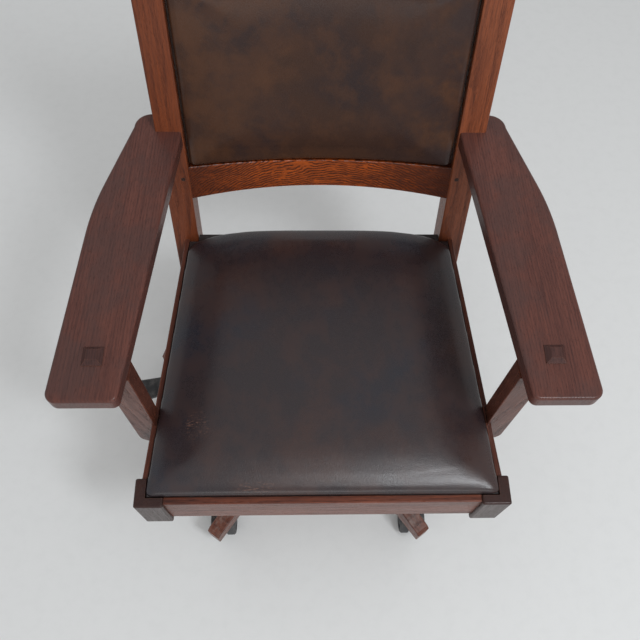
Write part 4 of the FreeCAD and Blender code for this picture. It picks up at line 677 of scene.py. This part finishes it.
test_pad = stuffed_pad(square, tuck=0.1, shoulder=0.2, edge=0.2, crown=0.1, flat_share=0.3)
print("a pad on it:", test_pad.shape[0], "rows, top at", round(float(test_pad[..., 2].max()), 2))

# %% [markdown]
# Rows of points become a mesh when each point is joined to the next one in its row and in the row
# above. The first and the last row are closed by a fan round a point in their middle. A new piece
# also says which body it moves with and which CAD nodes it stands for.

# %% From rows of points to a piece
def closed_mesh(name, rows):
    """A mesh from rows of points round a closed form, with a pole at each end.

    Point number c of row r has the index r * (points in a row) + c, and its square joins it to
    c + 1 and to row r + 1, where the point after the last in a row is the first again.
    """
    count, around = rows.shape[:2]
    poles = np.stack([rows[0].mean(axis=0), rows[-1].mean(axis=0)])
    points = np.vstack([rows.reshape(-1, 3), poles])
    row, column = np.meshgrid(np.arange(count - 1), np.arange(around), indexing="ij")
    here = row * around + column
    beside = row * around + (column + 1) % around
    faces = np.stack([here, beside, beside + around, here + around], axis=-1).reshape(-1, 4)
    ring = np.arange(around)
    after = (ring + 1) % around
    last = (count - 1) * around
    first_pole, last_pole = count * around, count * around + 1
    caps = [(first_pole, b, a) for a, b in zip(ring.tolist(), after.tolist())]
    caps += [(last_pole, last + a, last + b) for a, b in zip(ring.tolist(), after.tolist())]
    mesh = bpy.data.meshes.new(name)
    mesh.from_pydata(points.tolist(), [], faces.tolist() + caps)
    mesh.validate()
    return mesh


def new_piece(name, mesh, body, slot, *replaced):
    """An object for a mesh, riding on a body, that stands for CAD nodes."""
    piece = bpy.data.objects.new(name, mesh)
    bpy.context.scene.collection.objects.link(piece)
    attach(piece, body)
    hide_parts(*replaced)
    return piece


square_mesh = closed_mesh("test_pad", test_pad)
print("the test pad as a mesh:", len(square_mesh.polygons), "faces")

# %% [markdown]
# Cloth needs a mesh of even squares, so the pad goes through a modifier, and its points are then
# read as one array. A cloth that is this fine creases at its corners, which leather on foam does
# not. Averaging what the points moved, and not where they lie, takes the creases out and keeps the
# pad's own edges.

# %% Read and even a mesh
def evaluated_mesh(piece):
    """The piece's mesh with its modifiers applied."""
    graph = bpy.context.evaluated_depsgraph_get()
    return bpy.data.meshes.new_from_object(piece.evaluated_get(graph))


def points_of(mesh):
    """The mesh's points, one to a row."""
    flat = np.empty(len(mesh.vertices) * 3)
    mesh.vertices.foreach_get("co", flat)
    return flat.reshape(-1, 3)


def evened(mesh, values, rounds):
    """Values at a mesh's points, each averaged half and half with its neighbours' mean, in rounds."""
    ends = np.empty(len(mesh.edges) * 2, int)
    mesh.edges.foreach_get("vertices", ends)
    one, other = ends.reshape(-1, 2).T
    neighbours = np.bincount(ends, minlength=len(values))[:, None]
    for _ in range(rounds):
        total = np.zeros_like(values)
        np.add.at(total, one, values[other])
        np.add.at(total, other, values[one])
        values = (values + total / neighbours) / 2
    return values


def shade_smooth(mesh):
    """Lets every face of a mesh shade as part of one round surface."""
    mesh.polygons.foreach_set("use_smooth", np.ones(len(mesh.polygons), bool))


evened_square = evened(square_mesh, points_of(square_mesh), 1)
print("evened once, the test pad's top is at", round(float(evened_square[:, 2].max()), 3))
bpy.data.meshes.remove(square_mesh)

# %% [markdown]
# Leather over stuffing is in tension, and no hand-drawn curve has quite that shape. So the pad's
# base is pinned, and a cloth simulation blows the rest up a little. The result is kept as the mesh,
# with a limit on how far a point may move, so that it stays clear of the rails round it.

# %% Blow up a pad as cloth
SQUARE, CLOTH_STEPS, CREASE_ROUNDS = 0.0045, 20, 36


def stuff_with_cloth(piece, pinned_below, cap, pressure=4.0):
    """Remeshes a pad, blows it up as cloth and keeps the result.

    The points below one height are pinned. What each other point moved is shortened to the cap,
    and then evened with its neighbours.
    """
    remesh = piece.modifiers.new("even_squares", "REMESH")
    remesh.mode = "VOXEL"
    remesh.voxel_size = SQUARE
    piece.data = evaluated_mesh(piece)
    piece.modifiers.clear()
    before = points_of(piece.data)
    pins = piece.vertex_groups.new(name="held")
    pins.add(np.flatnonzero(before[:, 2] < pinned_below).tolist(), 1.0, "REPLACE")
    cloth = piece.modifiers.new("stuffing", "CLOTH")
    cloth.settings.use_pressure = True
    cloth.settings.uniform_pressure_force = pressure
    cloth.settings.vertex_group_mass = "held"
    cloth.settings.effector_weights.gravity = 0
    for step in range(CLOTH_STEPS):
        bpy.context.scene.frame_set(1 + step)
    moved = points_of(evaluated_mesh(piece)) - before
    bpy.context.scene.frame_set(1)
    piece.modifiers.clear()
    piece.vertex_groups.clear()
    distance = np.linalg.norm(moved, axis=1, keepdims=True)
    capped = moved * np.minimum(1, cap / np.maximum(distance, 1e-9))
    kept = evened(piece.data, capped, CREASE_ROUNDS)
    piece.data.vertices.foreach_set("co", (before + kept).ravel())
    print(piece.name, "moved up to", round(float(distance.max()) * 1000, 1), "mm")
    soften = piece.modifiers.new("soft_skin", "SUBSURF")
    soften.levels = soften.render_levels = 1
    piece.data = evaluated_mesh(piece)
    piece.modifiers.clear()
    shade_smooth(piece.data)
    piece.data.update()


print("squares of", SQUARE * 1000, "mm and", CLOTH_STEPS, "steps of cloth for each pad")

# %% [markdown]
# The seat cushion is one hide over a plywood board. Its plan is a trapezium, with small corners at
# the front, where it meets the corner blocks, and long sweeping ones at the back, where it makes
# room for the posts.

# %% The seat cushion
FRONT_Y = -0.33305
SEAT_BASE, SEAT_PINNED = 0.4500, 0.0100
SEAT_INSET = 0.0006
SIDE_DRAFT = math.radians(4.5)
FRONT_CORNER, SIDE_RUN, REAR_RUN = 0.010, 0.046, 0.170
near, far = FRONT_Y + 0.0138, FRONT_Y + 0.4680
front_half = 0.255 - SEAT_INSET
rear_half = front_half - (far - near) * math.tan(SIDE_DRAFT)
seat_outline = even_outline(
    [(-front_half, near), (front_half, near), (rear_half, far), (-rear_half, far)],
    [(FRONT_CORNER, FRONT_CORNER)] * 2 + [(SIDE_RUN, REAR_RUN), (REAR_RUN, SIDE_RUN)])
seat_rows = stuffed_pad(seat_outline, tuck=0.0035, shoulder=0.0300, edge=0.0195, crown=0.0085,
                        flat_share=0.35, slack=0.3)
seat_rows[..., 2] += SEAT_BASE
seat_cushion = new_piece("seat_cushion_leather", closed_mesh("seat_cushion_leather", seat_rows),
                         "seat", "seat_leather", "seat_cushion")
stuff_with_cloth(seat_cushion, pinned_below=SEAT_BASE + SEAT_PINNED, cap=0.0020)
stuffed = points_of(seat_cushion.data)
print("seat cushion from", stuffed.min(0).round(4), "to", stuffed.max(0).round(4))

# %% [markdown]
# The back cushion is a thinner pad on a bowed board. It is made flat, stuffed, and only then bent
# to the bow of the rails and leaned back with them, because a formula bends every point alike.

# %% The back cushion
BACK_INSET = 0.0015
BACK_HALF = 0.2050 - BACK_INSET
BACK_LOW, BACK_HIGH = 0.1465 + BACK_INSET, 0.4455 - BACK_INSET
BACK_CORNER, BACK_PINNED = 0.003, 0.0125
BACK_REAR, BOW = 0.0145, 0.021
BACK_FOOT_Y, BACK_FOOT_Z = FRONT_Y + 0.4555, 0.4495


def onto_the_back(points):
    """Bends a flat pad to the bow and leans it.

    The depth grows by the bow times 1 - (x / half)^2, where half is half a rail's length. Then
    depth and rise turn together by the lean, round the foot of the back.
    """
    across, rise, out = points[..., 0], points[..., 1], points[..., 2]
    depth = BACK_REAR - out + BOW * (1 - (across / RAIL_HALF) ** 2)
    y = BACK_FOOT_Y + depth * math.cos(LEAN) + rise * math.sin(LEAN)
    z = BACK_FOOT_Z - depth * math.sin(LEAN) + rise * math.cos(LEAN)
    return np.stack([across, y, z], axis=-1)


back_outline = even_outline(
    [(-BACK_HALF, BACK_LOW), (BACK_HALF, BACK_LOW), (BACK_HALF, BACK_HIGH), (-BACK_HALF, BACK_HIGH)],
    [(BACK_CORNER, BACK_CORNER)] * 4)
back_rows = stuffed_pad(back_outline, tuck=0.0035, shoulder=0.0100, edge=0.0170, crown=0.0085,
                        flat_share=0.35, slack=0.15)
back_cushion = new_piece("back_cushion_leather", closed_mesh("back_cushion_leather", back_rows),
                         "seat", "back_leather", "back_cushion")
stuff_with_cloth(back_cushion, pinned_below=BACK_PINNED, cap=0.0022)
bent = onto_the_back(points_of(back_cushion.data))
back_cushion.data.vertices.foreach_set("co", bent.ravel())
back_cushion.data.update()
print("back cushion from", bent.min(0).round(4), "to", bent.max(0).round(4))

# %% [markdown]
# Both cushions are the same dark hide, but the seat is blacker from wear and the back is browner.
# The back's dye also drifts from warm at one side to cool at the other. The seat carries a few pale
# scuffs at its front edge.

# %% Leather finishes
PEBBLE, PEBBLE_DEPTH = 0.0011, 0.00012
BARE_HIDE = (0.17, 0.085, 0.060, 1)


def leather(name, deep, warm, cool, gloss, scuffs=(), drift=()):
    """Leather with its own dye tones, gloss and scuffs, each scuff a centre and a reach.

    Each drift is a place across the hide where another tone begins, one where it is full, and it.
    """
    material, bench, place, skin, shader = new_finish(
        name, leather_skin, {"Deep": deep, "Warm": warm, "Cool": cool, "Pebble": PEBBLE}, PEBBLE_DEPTH,
        plain={"IOR": gloss})
    across = bench.part(place, 0)
    patchy = bench.noise(place, 22.0, 3.0, 0.6)
    for begins, full, tone in drift:
        share = bench.math("MULTIPLY", bench.ramp(across, begins, full),
                           bench.ramp(patchy, 0.35, 0.6))
        tint(bench, shader, bench.math("MULTIPLY", share, 0.75), tone)
    for centre, reach in scuffs:
        scuff = bench.node("ShaderNodeGroup", {"Place": place, "Centre": centre, "Reach": reach},
                           node_tree=scuff_patch)
        tint(bench, shader, bench.math("MULTIPLY", scuff.outputs["Scuff"], 0.75), BARE_HIDE)
    return material


seat_leather = leather(
    "seat_hide", (0.0215, 0.0138, 0.0155, 1), (0.040, 0.0185, 0.0155, 1),
    (0.0150, 0.0140, 0.0205, 1), gloss=1.55,
    scuffs=[((-0.092, -0.310, 0.470), (0.042, 0.012, 0.02)),
            ((-0.185, -0.22, 0.478), (0.03, 0.03, 0.02))])
BACK_WARM, BACK_COOL = (0.080, 0.0340, 0.0175, 1), (0.030, 0.0185, 0.0180, 1)
back_leather = leather("back_hide", (0.047, 0.0225, 0.0150, 1), BACK_WARM, BACK_COOL, gloss=1.30,
                       drift=((0.03, -0.20, BACK_WARM), (0.02, 0.20, BACK_COOL)))
seat_cushion.data.materials.append(seat_leather)
back_cushion.data.materials.append(back_leather)
dress(back_leather, "back_board")
print(len(bpy.data.materials), "finishes with the leathers")

# %% [markdown]
# The tension spring is a round wire wound into a coil. A circle is carried along a helix and kept
# square to it, so that the wire has the same thickness all the way.

# %% A wire along a helix
SPRING_TURNS, COIL_RADIUS, WIRE = 5.5, 0.013, 0.004
SPRING_LOW, SPRING_HIGH, SPRING_Y = 0.258, 0.318, -0.14805
TURN_RISE = (SPRING_HIGH - SPRING_LOW - WIRE) / SPRING_TURNS


def coiled_wire(first, last, steps=64, sides=16):
    """Rows of points round a wire from one turn of the spring to another.

    The wire's line is (r cos a, r sin a, rising evenly with a). Each row is a circle in the plane
    of the outward direction and of the one square to both it and the line's heading.
    """
    turns = np.linspace(first, last, round((last - first) * steps) + 1)[:, None]
    angle = turns * 2 * math.pi
    none = angle * 0
    out = np.concatenate([np.cos(angle), np.sin(angle), none], axis=1)
    heading = np.concatenate([
        -COIL_RADIUS * np.sin(angle), COIL_RADIUS * np.cos(angle), none + TURN_RISE / (2 * math.pi),
    ], axis=1)
    heading /= np.linalg.norm(heading, axis=1, keepdims=True)
    upward = np.cross(heading, out)
    foot = (0, SPRING_Y, SPRING_LOW + WIRE / 2)
    line = out * COIL_RADIUS + np.concatenate([none, none, turns * TURN_RISE], axis=1) + foot
    turn = np.linspace(0, 2 * math.pi, sides, endpoint=False)[None, :, None]
    circle = out[:, None] * np.cos(turn) - upward[:, None] * np.sin(turn)
    return line[:, None] + circle * WIRE / 2


print("the coil rises", round(TURN_RISE * 1000, 2), "mm a turn")

# %% [markdown]
# The spring gets shorter when the seat tilts or the knob is turned, and a rigid mesh cannot do
# that. One piece can be squashed by one joint only, so the spring has two lengths. The long one
# hangs from the housing and moves with the lift. The short one stands on the washer, which the knob
# pushes up, and moves with it. They meet at the side, and their ends overlap.

# %% The two lengths of the spring
MEETING, OVERLAP = 1.0, 0.01


def spring_part(name, body, first, last):
    """One length of the spring, as a mesh of wire that moves with one body.
    """
    wire = closed_mesh(name, coiled_wire(first, last))
    shade_smooth(wire)
    wire.materials.append(steel)
    part = new_piece(name, wire, body, "steel", "tension_spring")
    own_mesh(part)
    print(name, "has", len(part.data.polygons), "faces")


spring_part("tension_spring_upper", "lift", MEETING - OVERLAP, SPRING_TURNS)
spring_part("tension_spring_lower", "washer", 0.0, MEETING + OVERLAP)

# %% [markdown]
# The studio is plain: a pale grey floor without a horizon, under a pale and even sky. The floor is
# one big square, and its paint reflects little, so that no lamp leaves a white patch on it.

# %% Floor and world
scene = bpy.context.scene
FLOOR_REACH = 9.0
corners = [(across * FLOOR_REACH, along * FLOOR_REACH, 0)
           for across, along in ((-1, -1), (1, -1), (1, 1), (-1, 1))]
floor_mesh = bpy.data.meshes.new("studio_floor")
floor_mesh.from_pydata(corners, [], [(0, 1, 2, 3)])
floor = bpy.data.objects.new("studio_floor", floor_mesh)
scene.collection.objects.link(floor)
floor_paint, bench, place, skin, shader = new_finish(
    "floor_paint", coated_skin,
    {"Base": (0.74, 0.74, 0.73, 1), "Worn": (0.71, 0.71, 0.70, 1), "Grain": 0.02, "Gloss": 0.15}, 0.0,
    plain={"IOR": 1.2})
floor_mesh.materials.append(floor_paint)

world = bpy.data.worlds.new("studio_world")
scene.world = world
world.use_nodes = True
background = world.node_tree.nodes["Background"]
background.inputs["Color"].default_value = (0.97, 0.985, 1.0, 1)
background.inputs["Strength"].default_value = 0.60
print("floor of", 2 * FLOOR_REACH, "by", 2 * FLOOR_REACH, "metres")

# %% [markdown]
# Three soft lamps light the chair. Two hang overhead, to the front and the right: the small, cool
# one gives the seat its sheen along the front edge, and the broad one softens the shadows. The
# third stands in front and lights the faces of the front rail and blocks.

# %% Lamps
def soft_lamp(name, place, aim, width, depth, power, colour=(1.0, 1.0, 1.0)):
    """A rectangular lamp at a place, aimed at a point."""
    lamp = bpy.data.lights.new(name, "AREA")
    lamp.shape = "RECTANGLE"
    lamp.size = width
    lamp.size_y = depth
    lamp.energy = power
    lamp.color = colour
    holder = bpy.data.objects.new(name, lamp)
    holder.location = place
    holder.rotation_euler = (Vector(aim) - Vector(place)).to_track_quat("-Z", "Y").to_euler()
    scene.collection.objects.link(holder)


soft_lamp("key_softbox", (0.96, -1.12, 2.6), (0.15, -0.25, 0.47), 0.36, 0.58, power=24,
          colour=(0.92, 0.96, 1.0))
soft_lamp("broad_softbox", (0.56, -0.86, 2.7), (0.1, -0.2, 0.45), 1.5, 0.8, power=6.5)
soft_lamp("front_fill", (0.3, -3.0, 1.3), (0.0, 0.0, 0.30), 2.4, 0.9, power=13)
scene.view_settings.view_transform = "Standard"
print(len(bpy.data.lights), "lamps")

# %% [markdown]
# The camera stands where the photographer stood: in front of the chair, above it, looking steeply
# down. Its place and angles were solved from points of the chair whose places are known.

# %% Camera
YAW, PITCH, ROLL = (math.radians(angle) for angle in (3.051, 63.002, 2.527))
LENS, SENSOR = 39.375, 36
CAMERA_PLACE = (-0.028436, -0.548495, 1.460819)
ahead = Vector((math.sin(YAW) * math.cos(PITCH), math.cos(YAW) * math.cos(PITCH), -math.sin(PITCH)))
level = Vector((math.cos(YAW), -math.sin(YAW), 0))
above = level.cross(ahead)
right = math.cos(ROLL) * level + math.sin(ROLL) * above
top = -math.sin(ROLL) * level + math.cos(ROLL) * above
camera_data = bpy.data.cameras.new("photographer")
camera_data.lens = LENS
camera_data.sensor_width = SENSOR
camera = bpy.data.objects.new("photographer", camera_data)
scene.collection.objects.link(camera)
pose = Matrix((right, top, -ahead)).transposed().to_4x4()
pose.translation = CAMERA_PLACE
camera.matrix_world = pose
scene.camera = camera
print("camera at", CAMERA_PLACE, "looks down by", round(math.degrees(PITCH)), "degrees")

# %% The end
print("the scene is built")
